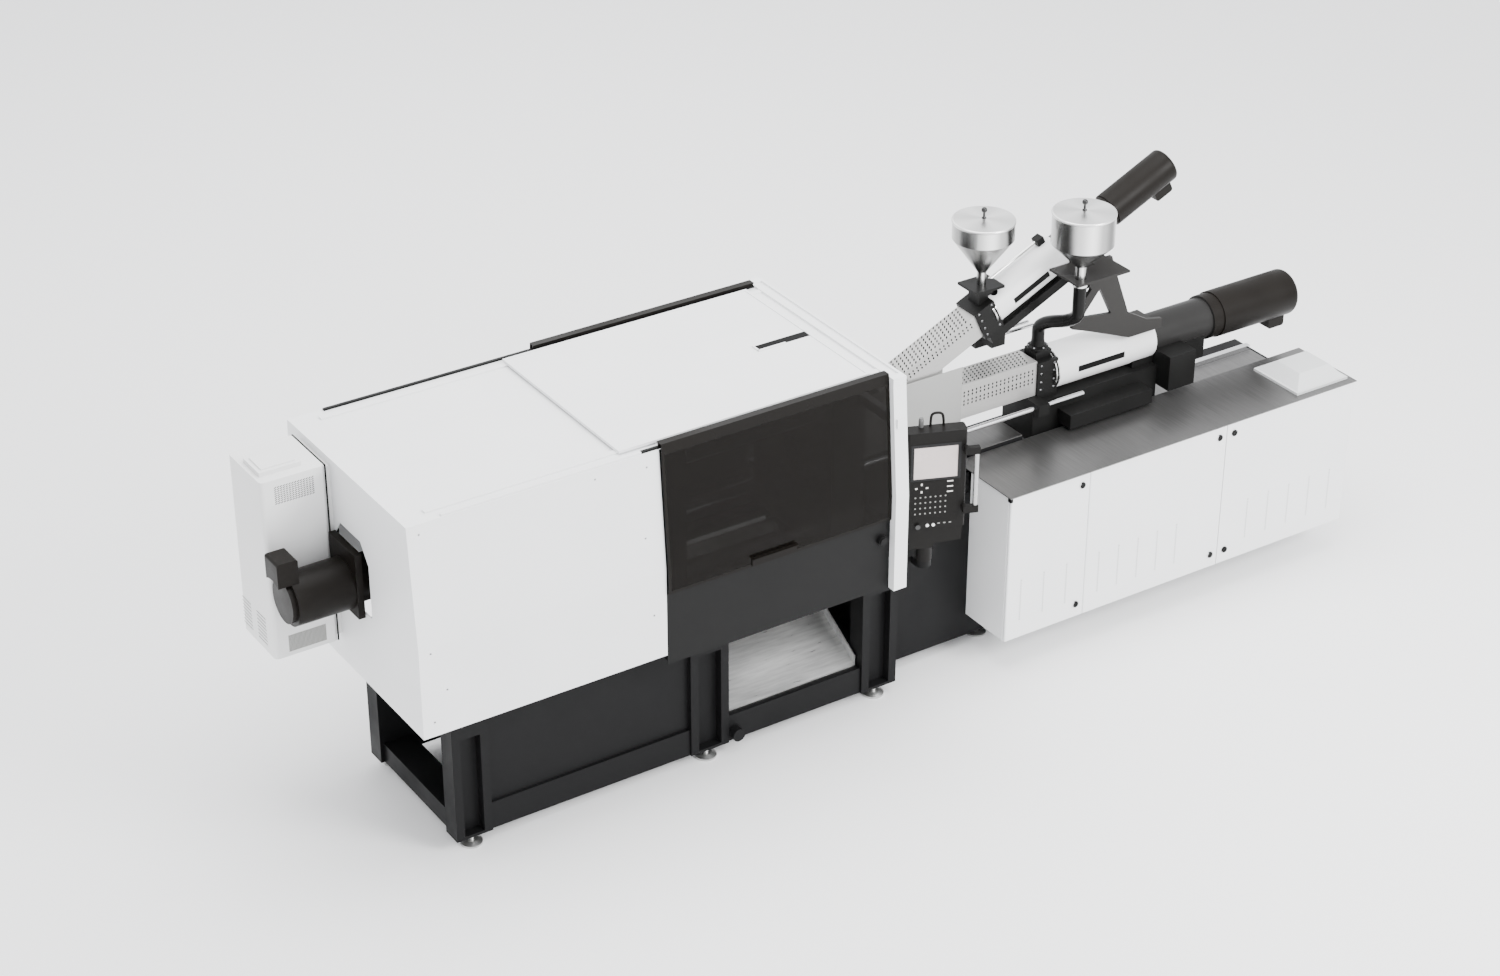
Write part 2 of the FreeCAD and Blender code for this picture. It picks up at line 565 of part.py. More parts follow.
def make_unit1_extras():
    plates = []
    for y in (-86.0, 83.0):
        plates.append(box(clamp_len + portal_t, 3430, y, y + 3, 1200, 1545))
    plates.append(box(clamp_len + portal_t, 3430, -83, 83, 1200, 1203))
    guard = plates[0].fuse(plates[1]).fuse(plates[2])
    lug = box(clamp_len + 50, clamp_len + portal_t, -86, -60, 1210, 1260)
    guard = guard.fuse(lug).fuse(mirror_y(lug)).removeSplitter()
    save("nozzle_guard", guard)
    save("fixed_platen", box(clamp_len + 50, 2885, -40, 40, 1400, 1482))
    z0 = inj_top + 30
    shoes = []
    body = box(3870, 4700, -130, 130, z0 + 28, 1215)
    wing = box(4034, 4584, -240, 240, 1070, 1150)
    cross = box(3860, 3930, -rod_y - 40, rod_y + 40, rod_z - 34, rod_z + 28)
    carriage = body.fuse(wing).fuse(cross)
    for y in (-rod_y, rod_y):
        carriage = carriage.cut(cyl(3800, y, rod_z, rod_r + fit_gap, 900))
    carriage = carriage.fuse(box(3920, 4050, -92, 92, 1215, barrel_z - 98))
    seat = box(4560, 5060, -90, 90, 1150, barrel_z - 60)
    carriage = carriage.fuse(seat)
    carriage = carriage.cut(cyl(4000, 0, barrel_z, 118.2, 700)).cut(cyl(4700, 0, barrel_z, 110.2, 400)).removeSplitter()
    save("carriage", carriage)
    for x in (3900.0, 4640.0):
        for y in (-158.0, 158.0):
            s = box(x - 40, x + 60, y - 36, y + 36, inj_top + 8, z0 + 28)
            shoes.append(s.cut(box(x - 90, x + 90, y - 17 - slide_gap, y + 17 + slide_gap, 900, z0 + slide_gap)))
    save("carriage", *shoes)
    rods = [cyl(2560, y, rod_z, rod_r, 4180 - 2560) for y in (-rod_y, rod_y)]
    save("guide_rails", *rods)
    save("carriage", box(4702, 4880, -230, -92, 1100, 1300).cut(cyl(4600, 0, barrel_z, 110.2, 500)))


def make_unit2_carrier():
    # beam under the inclined unit, its rail, cross block and prop shoe
    beam = on_unit2(box(1010, 1830, -45, 45, -178, -128))
    rail = on_unit2(box(1020, 1820, -20, 20, -128, -116))
    save("incline_beam", beam)
    save("incline_beam", rail)
    runs = []
    for s, top in ((998.0, -90), (1600.0, -60)):
        a = box(s, s + 90, -50, 50, -128 + slide_gap, top).cut(cyl(1500, 0, 0, 88.1, 300))
        a = on_unit2(a)
        runs.append(a.cut(on_unit2(box(900, 2000, -20 - slide_gap, 20 + slide_gap, -140, -116 + slide_gap))))
    save("feed_block_2", *runs)
    top = hopper2_z - 12
    pts = [(4060, top), (4330, top), (4352, 1890), (4462, 1600), (4600, 1520), (4700, 1500), (4700, 1446),
           (4480, 1446), (4200, 1560), (4090, 1600), (4090, 1660), (4205, 1800), (4160, 1890), (4060, 1915)]
    plate = prism_y(pts, -142, -120)
    hole = [(4262, 1790), (4345, 1625), (4150, 1650)]
    plate = plate.cut(prism_y(hole, -200, 0))
    foot = box(4480, 4700, -120, 60, 1446, 1466).cut(cyl(4300, 0, barrel_z, 118.2, 500))
    cross = prism_y([(4170, 1800), (4300, 1800), (4300, 1910), (4170, 1860)], -120, 45)
    cross = cross.cut(on_unit2(box(900, 2000, -300, 300, -178, 0)))
    save("hopper_bracket", plate.fuse(foot).fuse(cross).removeSplitter())
    shoe = box(3640, 3760, prop_y[0] - 22, prop_y[1] + 22, prop_z - 24, prop_z + 24)
    for y in prop_y:
        shoe = shoe.cut(cyl(3400, y, prop_z, prop_r + fit_gap, 600))
    beam_cut = on_unit2(box(900, 2000, -300, 300, -178, 200))
    strut = box(3655, 3740, -30, prop_y[0] + 30, prop_z + 24, 1680)
    save("incline_beam", shoe.fuse(strut).cut(beam_cut).removeSplitter())
    save("guide_rails", *[cyl(2560, y, prop_z, prop_r, 4030 - 2560) for y in prop_y])


# ---- hoppers ----
def make_hopper(x, y, z, r, neck, cone_h, cyl_h):
    wall = 2.0
    outer = cyl(x, y, z, neck, 70, (0, 0, 1)).fuse(cone(x, y, z + 70, neck, r, cone_h))
    outer = outer.fuse(cyl(x, y, z + 70 + cone_h, r, cyl_h, (0, 0, 1)))
    inner = cyl(x, y, z - 1, neck - wall, 73, (0, 0, 1)).fuse(cone(x, y, z + 71, neck - wall, r - wall, cone_h))
    inner = inner.fuse(cyl(x, y, z + 71 + cone_h, r - wall, cyl_h + 1, (0, 0, 1)))
    return outer.cut(inner).removeSplitter()


def make_lid(x, y, z, r):
    lid = cyl(x, y, z, r + 3, 4, (0, 0, 1)).fuse(cyl(x, y, z - 10, r - 3, 10, (0, 0, 1)))
    knob = cyl(x, y, z + 4, 5, 40, (0, 0, 1)).fuse(Part.makeSphere(15, V(x, y, z + 54)))
    return lid.removeSplitter(), knob.fuse(cyl(x, y, z + 4, 13, 8, (0, 0, 1))).removeSplitter()


def make_hoppers():
    save("hopper_1", make_hopper(hopper1_x, 0, hopper1_z, 160, 24, 190, 96))
    lid, knob = make_lid(hopper1_x, 0, hopper1_z + 356, 160)
    save("hopper_lid_1", lid)
    save("hopper_lid_1", knob)
    post = box(hopper1_x - 45, hopper1_x + 45, -45, 45, 1700, hopper1_z - 14)
    post = post.fuse(box(hopper1_x - 90, hopper1_x + 90, -80, 80, hopper1_z - 14, hopper1_z))
    post = post.cut(on_unit2(box(600, 1600, -200, 200, -200, 84)))
    post = post.cut(on_unit2(box(1088, 1600, -200, 200, -200, 97)))
    post = post.cut(cyl(hopper1_x, 0, 1700, 22, 400, (0, 0, 1)))
    save("feed_block_2", post.removeSplitter())
    save("hopper_2", make_hopper(hopper2_x, hopper2_y, hopper2_z + 12, 162, 31, 130, 168))
    lid, knob = make_lid(hopper2_x, hopper2_y, hopper2_z + 12 + 368, 162)
    save("hopper_lid_2", lid)
    save("hopper_lid_2", knob)
    plate = box(hopper2_x - 66, 4270, -358, -120, hopper2_z, hopper2_z + 12)
    plate = plate.cut(cyl(hopper2_x, hopper2_y, hopper2_z - 1, hose_r - 4, 40, (0, 0, 1)))
    lip = box(4060, 4270, -142, -120, hopper2_z - 12, hopper2_z)
    save("hopper_bracket", plate.fuse(lip).removeSplitter())


def tube_path(points, radii):
    """Straight runs joined by tangent arcs."""
    edges = []
    last = points[0]
    for i in range(1, len(points) - 1):
        a = (points[i - 1] - points[i]).normalize()
        b = (points[i + 1] - points[i]).normalize()
        ang = a.getAngle(b)
        t = radii[i - 1] / math.tan(ang / 2)
        p0 = points[i] + a * t
        p1 = points[i] + b * t
        mid = (a + b).normalize()
        c = points[i] + mid * (radii[i - 1] / math.sin(ang / 2))
        pm = c - mid * radii[i - 1]
        edges.append(Part.LineSegment(last, p0).toShape())
        edges.append(Part.Arc(p0, pm, p1).toShape())
        last = p1
    edges.append(Part.LineSegment(last, points[-1]).toShape())
    return Part.Wire(edges)


def make_hose():
    """Rigid curved feed pipe from the second hopper to the level unit's throat."""
    d1 = unit_dims[1]
    tx = unit_x0 + (d1["feed0"] + d1["feed1"]) / 2
    throat_top = barrel_z + 92 + 40
    save("feed_block_1", box(tx - 50, tx + 50, -50, 50, barrel_z + 92, throat_top))
    pts = [V(hopper2_x, hopper2_y, hopper2_z), V(hopper2_x, hopper2_y, 1760),
           V(tx, 0, 1620), V(tx, 0, throat_top)]
    path = tube_path(pts, [150, 120])
    ring = Part.Wire([Part.Circle(pts[0], V(0, 0, 1), hose_r).toShape()])
    core = Part.Wire([Part.Circle(pts[0], V(0, 0, 1), hose_r - 4).toShape()])
    outer = path.makePipeShell([ring], True, True)
    inner = path.makePipeShell([core], True, True)
    save("feed_pipe", outer.cut(inner))


def bounds():
    """Corners of the whole machine's box."""
    b = FreeCAD.BoundBox()
    for shapes in nodes.values():
        for s in shapes:
            b.add(s.BoundBox)
    return b


def export():
    """One STEP file per node, the origin under the middle of the machine."""
    b = bounds()
    mid_x = (b.XMin + b.XMax) / 2
    mid_y = (b.YMin + b.YMax) / 2
    for name, shapes in nodes.items():
        moved = []
        for s in shapes:
            for solid in s.Solids:
                c = solid.copy()
                c.translate(V(-mid_x, -mid_y, 0))
                moved.append(c)
        out = moved[0] if len(moved) == 1 else Part.makeCompound(moved)
        out.exportStep("parts/%s.step" % name)
    print(len(nodes), "nodes, middle", mid_x, mid_y, "size", b.XLength, b.YLength, b.ZLength)


make_base()
make_feet()
make_chute()
make_housing()
make_aprons()
make_portal()
make_doors()
make_roof_cover()
make_clamp()
make_clamp_drive()
make_left_cabinet()
make_injection_base()
make_cabinet()
make_control_panel()
make_unit(1, on_unit1)
make_unit(2, on_unit2)
make_unit1_extras()
make_unit2_carrier()
make_hoppers()
make_hose()
export()
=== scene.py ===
import bpy
import bmesh
import math
from mathutils import Vector, Matrix, Euler
from mathutils.bvhtree import BVHTree


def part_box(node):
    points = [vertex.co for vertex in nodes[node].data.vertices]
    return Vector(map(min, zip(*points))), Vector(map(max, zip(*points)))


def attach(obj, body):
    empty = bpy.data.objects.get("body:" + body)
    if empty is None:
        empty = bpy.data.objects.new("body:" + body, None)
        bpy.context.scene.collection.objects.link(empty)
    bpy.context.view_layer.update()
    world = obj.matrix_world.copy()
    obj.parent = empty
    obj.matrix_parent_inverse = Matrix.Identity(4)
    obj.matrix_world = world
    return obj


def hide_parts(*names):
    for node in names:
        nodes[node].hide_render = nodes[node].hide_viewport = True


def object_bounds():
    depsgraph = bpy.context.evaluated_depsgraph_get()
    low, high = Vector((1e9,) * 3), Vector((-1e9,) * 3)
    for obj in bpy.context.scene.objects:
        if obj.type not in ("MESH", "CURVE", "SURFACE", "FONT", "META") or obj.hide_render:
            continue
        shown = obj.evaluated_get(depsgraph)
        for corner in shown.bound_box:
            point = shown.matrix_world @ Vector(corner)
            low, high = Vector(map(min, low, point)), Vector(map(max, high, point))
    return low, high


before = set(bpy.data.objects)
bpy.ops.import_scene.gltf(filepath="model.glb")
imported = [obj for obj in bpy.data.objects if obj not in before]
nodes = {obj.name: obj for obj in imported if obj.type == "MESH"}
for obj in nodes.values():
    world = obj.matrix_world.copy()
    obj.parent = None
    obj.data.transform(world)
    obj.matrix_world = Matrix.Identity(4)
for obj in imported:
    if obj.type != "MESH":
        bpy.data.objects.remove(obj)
cad_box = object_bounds()


# Powder-coated sheet steel: the white housing sides, the end panel and the roof.
# Fine orange-peel in the coat, colour that drifts a little over the sheet, folded edges.
def wear_group():
    """Colour and roughness that drift over a surface, with a fine peel texture."""
    g = bpy.data.node_groups.new("coat_variation", "ShaderNodeTree")
    for name, kind in (("Colour", "NodeSocketColor"), ("Roughness", "NodeSocketFloat"),
                       ("Drift", "NodeSocketFloat"), ("Peel Scale", "NodeSocketFloat")):
        g.interface.new_socket(name, in_out="INPUT", socket_type=kind)
    for name, kind in (("Colour", "NodeSocketColor"), ("Roughness", "NodeSocketFloat"),
                       ("Peel", "NodeSocketFloat")):
        g.interface.new_socket(name, in_out="OUTPUT", socket_type=kind)
    n, k = g.nodes, g.links
    gi, go = n.new("NodeGroupInput"), n.new("NodeGroupOutput")
    co = n.new("ShaderNodeTexCoord")
    cloud = n.new("ShaderNodeTexNoise")
    cloud.inputs["Scale"].default_value = 2.3
    cloud.inputs["Detail"].default_value = 5
    k.new(co.outputs["Object"], cloud.inputs["Vector"])
    peel = n.new("ShaderNodeTexNoise")
    k.new(co.outputs["Object"], peel.inputs["Vector"])
    k.new(gi.outputs["Peel Scale"], peel.inputs["Scale"])
    span = n.new("ShaderNodeMapRange")
    span.inputs["From Min"].default_value = 0.3
    span.inputs["From Max"].default_value = 0.7
    span.inputs["To Min"].default_value = -1.0
    k.new(cloud.outputs["Fac"], span.inputs["Value"])
    amount = n.new("ShaderNodeMath")
    amount.operation = "MULTIPLY"
    k.new(span.outputs["Result"], amount.inputs[0])
    k.new(gi.outputs["Drift"], amount.inputs[1])
    value = n.new("ShaderNodeMath")
    value.operation = "ADD"
    value.inputs[1].default_value = 1.0
    k.new(amount.outputs[0], value.inputs[0])
    hsv = n.new("ShaderNodeHueSaturation")
    k.new(gi.outputs["Colour"], hsv.inputs["Color"])
    k.new(value.outputs[0], hsv.inputs["Value"])
    rough = n.new("ShaderNodeMath")
    rough.operation = "ADD"
    k.new(gi.outputs["Roughness"], rough.inputs[0])
    k.new(amount.outputs[0], rough.inputs[1])
    k.new(hsv.outputs["Color"], go.inputs["Colour"])
    k.new(rough.outputs[0], go.inputs["Roughness"])
    k.new(peel.outputs["Fac"], go.inputs["Peel"])
    return g


coat_variation = wear_group()


def coated(name, colour, rough=0.4, drift=0.04, peel=900.0, bump=0.03, coat=0.0, metallic=0.0, shine=0.5):
    """A paint, powder coat or plastic with drifting colour and a fine skin texture."""
    m = bpy.data.materials.new(name)
    m.use_nodes = True
    n, k = m.node_tree.nodes, m.node_tree.links
    b = n["Principled BSDF"]
    g = n.new("ShaderNodeGroup")
    g.node_tree = coat_variation
    g.inputs["Colour"].default_value = (*colour, 1)
    g.inputs["Roughness"].default_value = rough
    g.inputs["Drift"].default_value = drift
    g.inputs["Peel Scale"].default_value = peel
    k.new(g.outputs["Colour"], b.inputs["Base Color"])
    k.new(g.outputs["Roughness"], b.inputs["Roughness"])
    bm = n.new("ShaderNodeBump")
    bm.inputs["Strength"].default_value = bump
    bm.inputs["Distance"].default_value = 0.001
    k.new(g.outputs["Peel"], bm.inputs["Height"])
    k.new(bm.outputs["Normal"], b.inputs["Normal"])
    b.inputs["Metallic"].default_value = metallic
    b.inputs["Coat Weight"].default_value = coat
    b.inputs["Specular IOR Level"].default_value = shine
    return m


def give(material, *names):
    for name in names:
        me = nodes[name].data
        me.materials.clear()
        me.materials.append(material)


white_coat = coated("white_powder_coat", (0.80, 0.805, 0.81), 0.42, 0.02)
give(white_coat, "housing_panels", "roof_panel", "roof_cover", "portal_frame", "cabinet_door_1",
     "cabinet_door_2",
     "cabinet_door_3", "cabinet_carcass")


def piece(name, bm, material, body):
    """Closes a bmesh into a finished piece that rides on a body."""
    bmesh.ops.recalc_face_normals(bm, faces=bm.faces)
    me = bpy.data.meshes.new(name)
    bm.to_mesh(me)
    bm.free()
    me.materials.append(material)
    o = bpy.data.objects.new(name, me)
    bpy.context.scene.collection.objects.link(o)
    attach(o, body)
    return o


def add_block(bm, lo, hi, bevel=0.0, turn=None):
    """A block with eased edges; turn places it."""
    size = [h - l for l, h in zip(lo, hi)]
    mid = [(h + l) / 2 for l, h in zip(lo, hi)]
    made = bmesh.ops.create_cube(bm, size=1.0, matrix=Matrix.Translation(mid) @ Matrix.Diagonal((*size, 1)))
    verts = made["verts"]
    if bevel:
        edges = list({e for v in verts for e in v.link_edges})
        out = bmesh.ops.bevel(bm, geom=edges, offset=bevel, segments=2, affect="EDGES", profile=0.6)
        verts = list({v for f in out["faces"] for v in f.verts} | {v for v in verts if v.is_valid})
    if turn:
        bmesh.ops.transform(bm, matrix=turn, verts=verts)
    return verts


def add_turning(bm, profile, origin, axis, steps=32):
    """A turned shape: (radius, height) profile round axis at origin."""
    axis = Vector(axis).normalized()
    rot = Vector((0, 0, 1)).rotation_difference(axis).to_matrix().to_4x4()
    m = Matrix.Translation(origin) @ rot
    rings = []
    for r, h in profile:
        if r < 1e-6:
            rings.append([bm.verts.new(m @ Vector((0, 0, h)))])
        else:
            rings.append([bm.verts.new(m @ Vector((r * math.cos(2 * math.pi * i / steps),
                                                   r * math.sin(2 * math.pi * i / steps),
                                                   h))) for i in range(steps)])
    for a, b in zip(rings, rings[1:]):
        for i in range(steps):
            j = (i + 1) % steps
            if len(a) == 1 and len(b) > 1:
                bm.faces.new((a[0], b[j], b[i]))
            elif len(b) == 1 and len(a) > 1:
                bm.faces.new((a[i], a[j], b[0]))
            elif len(a) > 1:
                bm.faces.new((a[i], a[j], b[j], b[i]))


# Button-head screws that hold the housing sheets.
# Zinc-plated steel, each seated on its sheet; one tree sets them all out.
def screw_tree():
    t = bpy.data.node_groups.new("sheet_screws", "GeometryNodeTree")
    t.interface.new_socket("Geometry", in_out="INPUT", socket_type="NodeSocketGeometry")
    r = t.interface.new_socket("Head Radius", in_out="INPUT", socket_type="NodeSocketFloat")
    r.default_value = 0.006
    h = t.interface.new_socket("Head Height", in_out="INPUT", socket_type="NodeSocketFloat")
    h.default_value = 0.003
    mat = t.interface.new_socket("Finish", in_out="INPUT", socket_type="NodeSocketMaterial")
    t.interface.new_socket("Geometry", in_out="OUTPUT", socket_type="NodeSocketGeometry")
    n, k = t.nodes, t.links
    gi, go = n.new("NodeGroupInput"), n.new("NodeGroupOutput")
    head = n.new("GeometryNodeMeshCone")
    head.inputs["Vertices"].default_value = 14
    head.inputs["Side Segments"].default_value = 1
    k.new(gi.outputs["Head Radius"], head.inputs["Radius Bottom"])
    top = n.new("ShaderNodeMath")
    top.operation = "MULTIPLY"
    top.inputs[1].default_value = 0.62
    k.new(gi.outputs["Head Radius"], top.inputs[0])
    k.new(top.outputs[0], head.inputs["Radius Top"])
    k.new(gi.outputs["Head Height"], head.inputs["Depth"])
    nor = n.new("GeometryNodeInputNormal")
    align = n.new("FunctionNodeAlignRotationToVector")
    k.new(nor.outputs[0], align.inputs["Vector"])
    put = n.new("GeometryNodeInstanceOnPoints")
    k.new(gi.outputs["Geometry"], put.inputs["Points"])
    k.new(head.outputs["Mesh"], put.inputs["Instance"])
    k.new(align.outputs["Rotation"], put.inputs["Rotation"])
    real = n.new("GeometryNodeRealizeInstances")
    k.new(put.outputs[0], real.inputs[0])
    setm = n.new("GeometryNodeSetMaterial")
    k.new(real.outputs[0], setm.inputs["Geometry"])
    k.new(gi.outputs["Finish"], setm.inputs["Material"])
    k.new(setm.outputs[0], go.inputs[0])
    return t, {s.name: s.identifier for s in (r, h, mat)}


sheet_screws, screw_inputs = screw_tree()
zinc = coated("zinc_plate", (0.45, 0.45, 0.46), 0.35, 0.06, 1500, 0.02, 0, 0.9)


def set_out(name, tree, ids, values, spots, body, half=0.0004):
    """Points with normals, fed to a tree and turned into one plain mesh."""
    bm = bmesh.new()
    for p, d in spots:
        p, d = Vector(p), Vector(d).normalized()
        u = d.orthogonal().normalized() * half
        w = d.cross(u)
        ring = [bm.verts.new(p + q) for q in (u, w, -u)]
        bm.faces.new(ring)
    me = bpy.data.meshes.new(name + "_spots")
    bm.to_mesh(me)
    bm.free()
    seed = bpy.data.objects.new(name + "_spots", me)
    bpy.context.scene.collection.objects.link(seed)
    mod = seed.modifiers.new("set_out", "NODES")
    mod.node_group = tree
    for key, val in values.items():
        mod[ids[key]] = val
    deps = bpy.context.evaluated_depsgraph_get()
    out = bpy.data.meshes.new_from_object(seed.evaluated_get(deps))
    out.name = name
    bpy.data.objects.remove(seed)
    o = bpy.data.objects.new(name, out)
    bpy.context.scene.collection.objects.link(o)
    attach(o, body)
    return o


lo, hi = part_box("housing_panels")
left_end, white_end = lo[0], hi[0]
screw_places = ((left_end + 0.06, 0.93), (left_end + 0.133, 1.083), (left_end + 0.06, 1.30),
                (white_end - 0.07, 1.10),
                (white_end - 0.10, 1.524), (white_end - 0.07, 1.88), (left_end + 0.96, 1.90),
                (left_end + 0.06, 1.90))
# each head is seated on the sheet by a line drawn in from outside, because the upper sheets lean
clear_of_machine = 2.0
spots = []
skin = nodes["housing_panels"].data
skin_tree = BVHTree.FromPolygons([v.co for v in skin.vertices], [p.vertices for p in skin.polygons])
for x, z in screw_places:
    for side in (-1, 1):
        seat = skin_tree.ray_cast(Vector((x, side * clear_of_machine, z)), Vector((0, -side, 0)))
        spots.append((seat[0], seat[1]))
set_out("housing_screws", sheet_screws, screw_inputs,
        {"Head Radius": 0.005, "Head Height": 0.0025, "Finish": zinc},
        spots, "machine")

# End cabinet: an off-white folded sheet case on the end of the clamp housing.
# Its grilles are rows of slots punched in the sheet; a black rubber strip seals it to the housing.
cabinet_white = coated("cabinet_off_white", (0.74, 0.74, 0.735), 0.42, 0.02)
give(cabinet_white, "left_cabinet")


def slot_tree():
    """A grid of small tilted pads: punched slots, louvre blades or keys."""
    t = bpy.data.node_groups.new("punched_slots", "GeometryNodeTree")
    face = t.interface
    face.new_socket("Geometry", in_out="INPUT", socket_type="NodeSocketGeometry")
    made = {}
    for name, kind in (("Columns", "Int"), ("Rows", "Int"), ("Width", "Float"), ("Height", "Float"),
                       ("Slot Size", "Vector"), ("Tilt", "Vector"), ("Finish", "Material")):
        made[name] = face.new_socket(name, in_out="INPUT", socket_type="NodeSocket" + kind).identifier
    face.new_socket("Geometry", in_out="OUTPUT", socket_type="NodeSocketGeometry")
    n, k = t.nodes, t.links
    gi, go = n.new("NodeGroupInput"), n.new("NodeGroupOutput")
    grid = n.new("GeometryNodeMeshGrid")
    k.new(gi.outputs["Columns"], grid.inputs["Vertices X"])
    k.new(gi.outputs["Rows"], grid.inputs["Vertices Y"])
    k.new(gi.outputs["Width"], grid.inputs["Size X"])
    k.new(gi.outputs["Height"], grid.inputs["Size Y"])
    pad = n.new("GeometryNodeMeshCube")
    k.new(gi.outputs["Slot Size"], pad.inputs["Size"])
    turn = n.new("FunctionNodeEulerToRotation")
    k.new(gi.outputs["Tilt"], turn.inputs[0])
    put = n.new("GeometryNodeInstanceOnPoints")
    k.new(grid.outputs["Mesh"], put.inputs["Points"])
    k.new(pad.outputs["Mesh"], put.inputs["Instance"])
    k.new(turn.outputs[0], put.inputs["Rotation"])
    real = n.new("GeometryNodeRealizeInstances")
    k.new(put.outputs[0], real.inputs[0])
    finish = n.new("GeometryNodeSetMaterial")
    k.new(real.outputs[0], finish.inputs["Geometry"])
    k.new(gi.outputs["Finish"], finish.inputs["Material"])
    k.new(finish.outputs[0], go.inputs[0])
    return t, made


punched_slots, slot_inputs = slot_tree()


def grown(name, tree, ids, values, place, body, points=()):
    """Runs a tree on a few points and lays the result at place as one plain mesh."""
    me = bpy.data.meshes.new(name + "_points")
    me.from_pydata([Vector(p) for p in points], [], [])
    seed = bpy.data.objects.new(name + "_points", me)
    bpy.context.scene.collection.objects.link(seed)
    mod = seed.modifiers.new("grow", "NODES")
    mod.node_group = tree
    for key, val in values.items():
        mod[ids[key]] = val
    deps = bpy.context.evaluated_depsgraph_get()
    out = bpy.data.meshes.new_from_object(seed.evaluated_get(deps))
    out.transform(place)
    out.name = name
    bpy.data.objects.remove(seed)
    o = bpy.data.objects.new(name, out)
    bpy.context.scene.collection.objects.link(o)
    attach(o, body)
    return o


def facing(direction, place):
    """Lays a local XY sheet on an upright face: local x runs along the face, local y up."""
    turns = {"front": (math.pi / 2, 0, 0), "rear": (math.pi / 2, 0, math.pi),
             "left": (math.pi / 2, 0, -math.pi / 2), "right": (math.pi / 2, 0, math.pi / 2), "up": (0, 0, 0)}
    return Matrix.Translation(place) @ Euler(turns[direction]).to_matrix().to_4x4()


slot_shadow = coated("slot_shadow", (0.045, 0.045, 0.045), 0.6, 0.1, 300, 0.05)
lo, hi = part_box("left_cabinet")
grille_x = lo[0] + 0.165
grown("end_cabinet_grille", punched_slots, slot_inputs,
      {"Columns": 14, "Rows": 9, "Width": 0.186, "Height": 0.084, "Slot Size": (0.012, 0.0042, 0.0008),
       "Tilt": (0.0, 0.0, 0.5), "Finish": slot_shadow}, facing("front", (grille_x, lo[1], 1.8475)),
      "machine")
for name, y in (("a", 0.335), ("b", 0.495)):
    grown("end_cabinet_louvres_" + name, punched_slots, slot_inputs,
          {"Columns": 1, "Rows": 8, "Width": 0.0, "Height": 0.14, "Slot Size": (0.095, 0.0065, 0.0012),
           "Tilt": (0.5, 0.0, 0.0), "Finish": slot_shadow}, facing("left", (lo[0], y, 1.095)),
          "machine")
filter_grey = coated("filter_mesh", (0.36, 0.36, 0.345), 0.6, 0.06, 300, 0.2)
bm = bmesh.new()
add_block(bm, (lo[0] + 0.071, lo[1] - 0.0010, 1.007), (lo[0] + 0.265, lo[1] + 0.001, 1.096), 0.0006)
piece("end_cabinet_filter", bm, filter_grey, "machine")
grown("end_cabinet_filter_mesh", punched_slots, slot_inputs,
      {"Columns": 30, "Rows": 14, "Width": 0.184, "Height": 0.080, "Slot Size": (0.003, 0.003, 0.0006),
       "Tilt": (0.0, 0.0, 0.78), "Finish": slot_shadow},
      facing("front", (lo[0] + 0.168, lo[1] - 0.0011, 1.0515)),
      "machine")
# Black rubber for the cabinet seal; the same black is painted shade in the barrel guard liners.
seal_and_shade_black = coated("seal_rubber_and_shade", (0.005, 0.005, 0.005), 0.6, 0.15, 300, 0.1, shine=0.1)
bm = bmesh.new()
seal_x, top_z = hi[0] - 0.031, 1.930
add_block(bm, (seal_x - 0.004, lo[1] - 0.0008, lo[2]), (seal_x + 0.004, lo[1] + 0.002, top_z + 0.001), 0.0004)
add_block(bm, (seal_x - 0.004, lo[1] - 0.0008, top_z - 0.002),
          (seal_x + 0.004, lo[1] + 0.3436, top_z + 0.001), 0.0004)
piece("end_cabinet_seal", bm, seal_and_shade_black, "machine")

# Cowl over the vent on the injection cabinet: a pressed off-white hood.
give(coated("cowl_grey", (0.60, 0.61, 0.61), 0.42, 0.02), "vent_cap")

# Cabinet doors: quarter-turn locks and columns of small pressed breather slots.
# Each lock is a turned black barrel set flush in the door; it swings with its door.
lock_black = coated("lock_black", (0.004, 0.004, 0.004), 0.35, 0.15, 700, 0.05, shine=0.1)
# Grey pads in the door breather slots: painted shade inside each pressed slot.
breather_slot_shade = coated("breather_slot_shade", (0.12, 0.12, 0.12), 0.6, 0.1, 300, 0.05)
lock_inset, lock_heights, lock_r = 0.052, (0.270, 0.988), 0.0176
for number, side, columns in ((1, 1, 3), (2, 1, 5), (3, 0, 5)):
    node = "cabinet_door_%d" % number
    lo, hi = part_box(node)
    # the lock stands just inside the edge that swings open
    lock_x = (hi[0] + 0.0035 if side else lo[0] - 0.0035) + (-lock_inset if side else lock_inset)
    bm = bmesh.new()
    for z in lock_heights:
        add_turning(bm, ((lock_r, -0.0065), (lock_r, 0.0001), (lock_r - 0.002, 0.0008), (0.007, 0.0008),
                         (0.0065, 0.0004),
                         (0, 0.0004)), (lock_x, lo[1], z), (0, -1, 0), 24)
    piece("door_%d_locks" % number, bm, lock_black, node)
    first, last = lo[0] + 0.09 + (0.10 if number == 3 else 0.0), hi[0] - (0.30 if number == 2 else 0.12)
    grown("door_%d_breathers" % number, punched_slots, slot_inputs,
          {"Columns": columns, "Rows": 15, "Width": last - first, "Height": 0.235,
           "Slot Size": (0.010, 0.0042, 0.0007),
           "Tilt": (0.25, 0.0, 0.0), "Finish": breather_slot_shade},
          facing("front", ((first + last) / 2, lo[1] + 0.0069, 0.42)), node)
lo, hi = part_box("cabinet_carcass")
bm = bmesh.new()
add_block(bm, (lo[0] - 0.0063, lo[1] - 0.0248, hi[2] - 0.022),
          (lo[0] + 0.010, lo[1] - 0.0005, hi[2] + 0.001), 0.002)
piece("cabinet_corner_bumper", bm, lock_black, "machine")
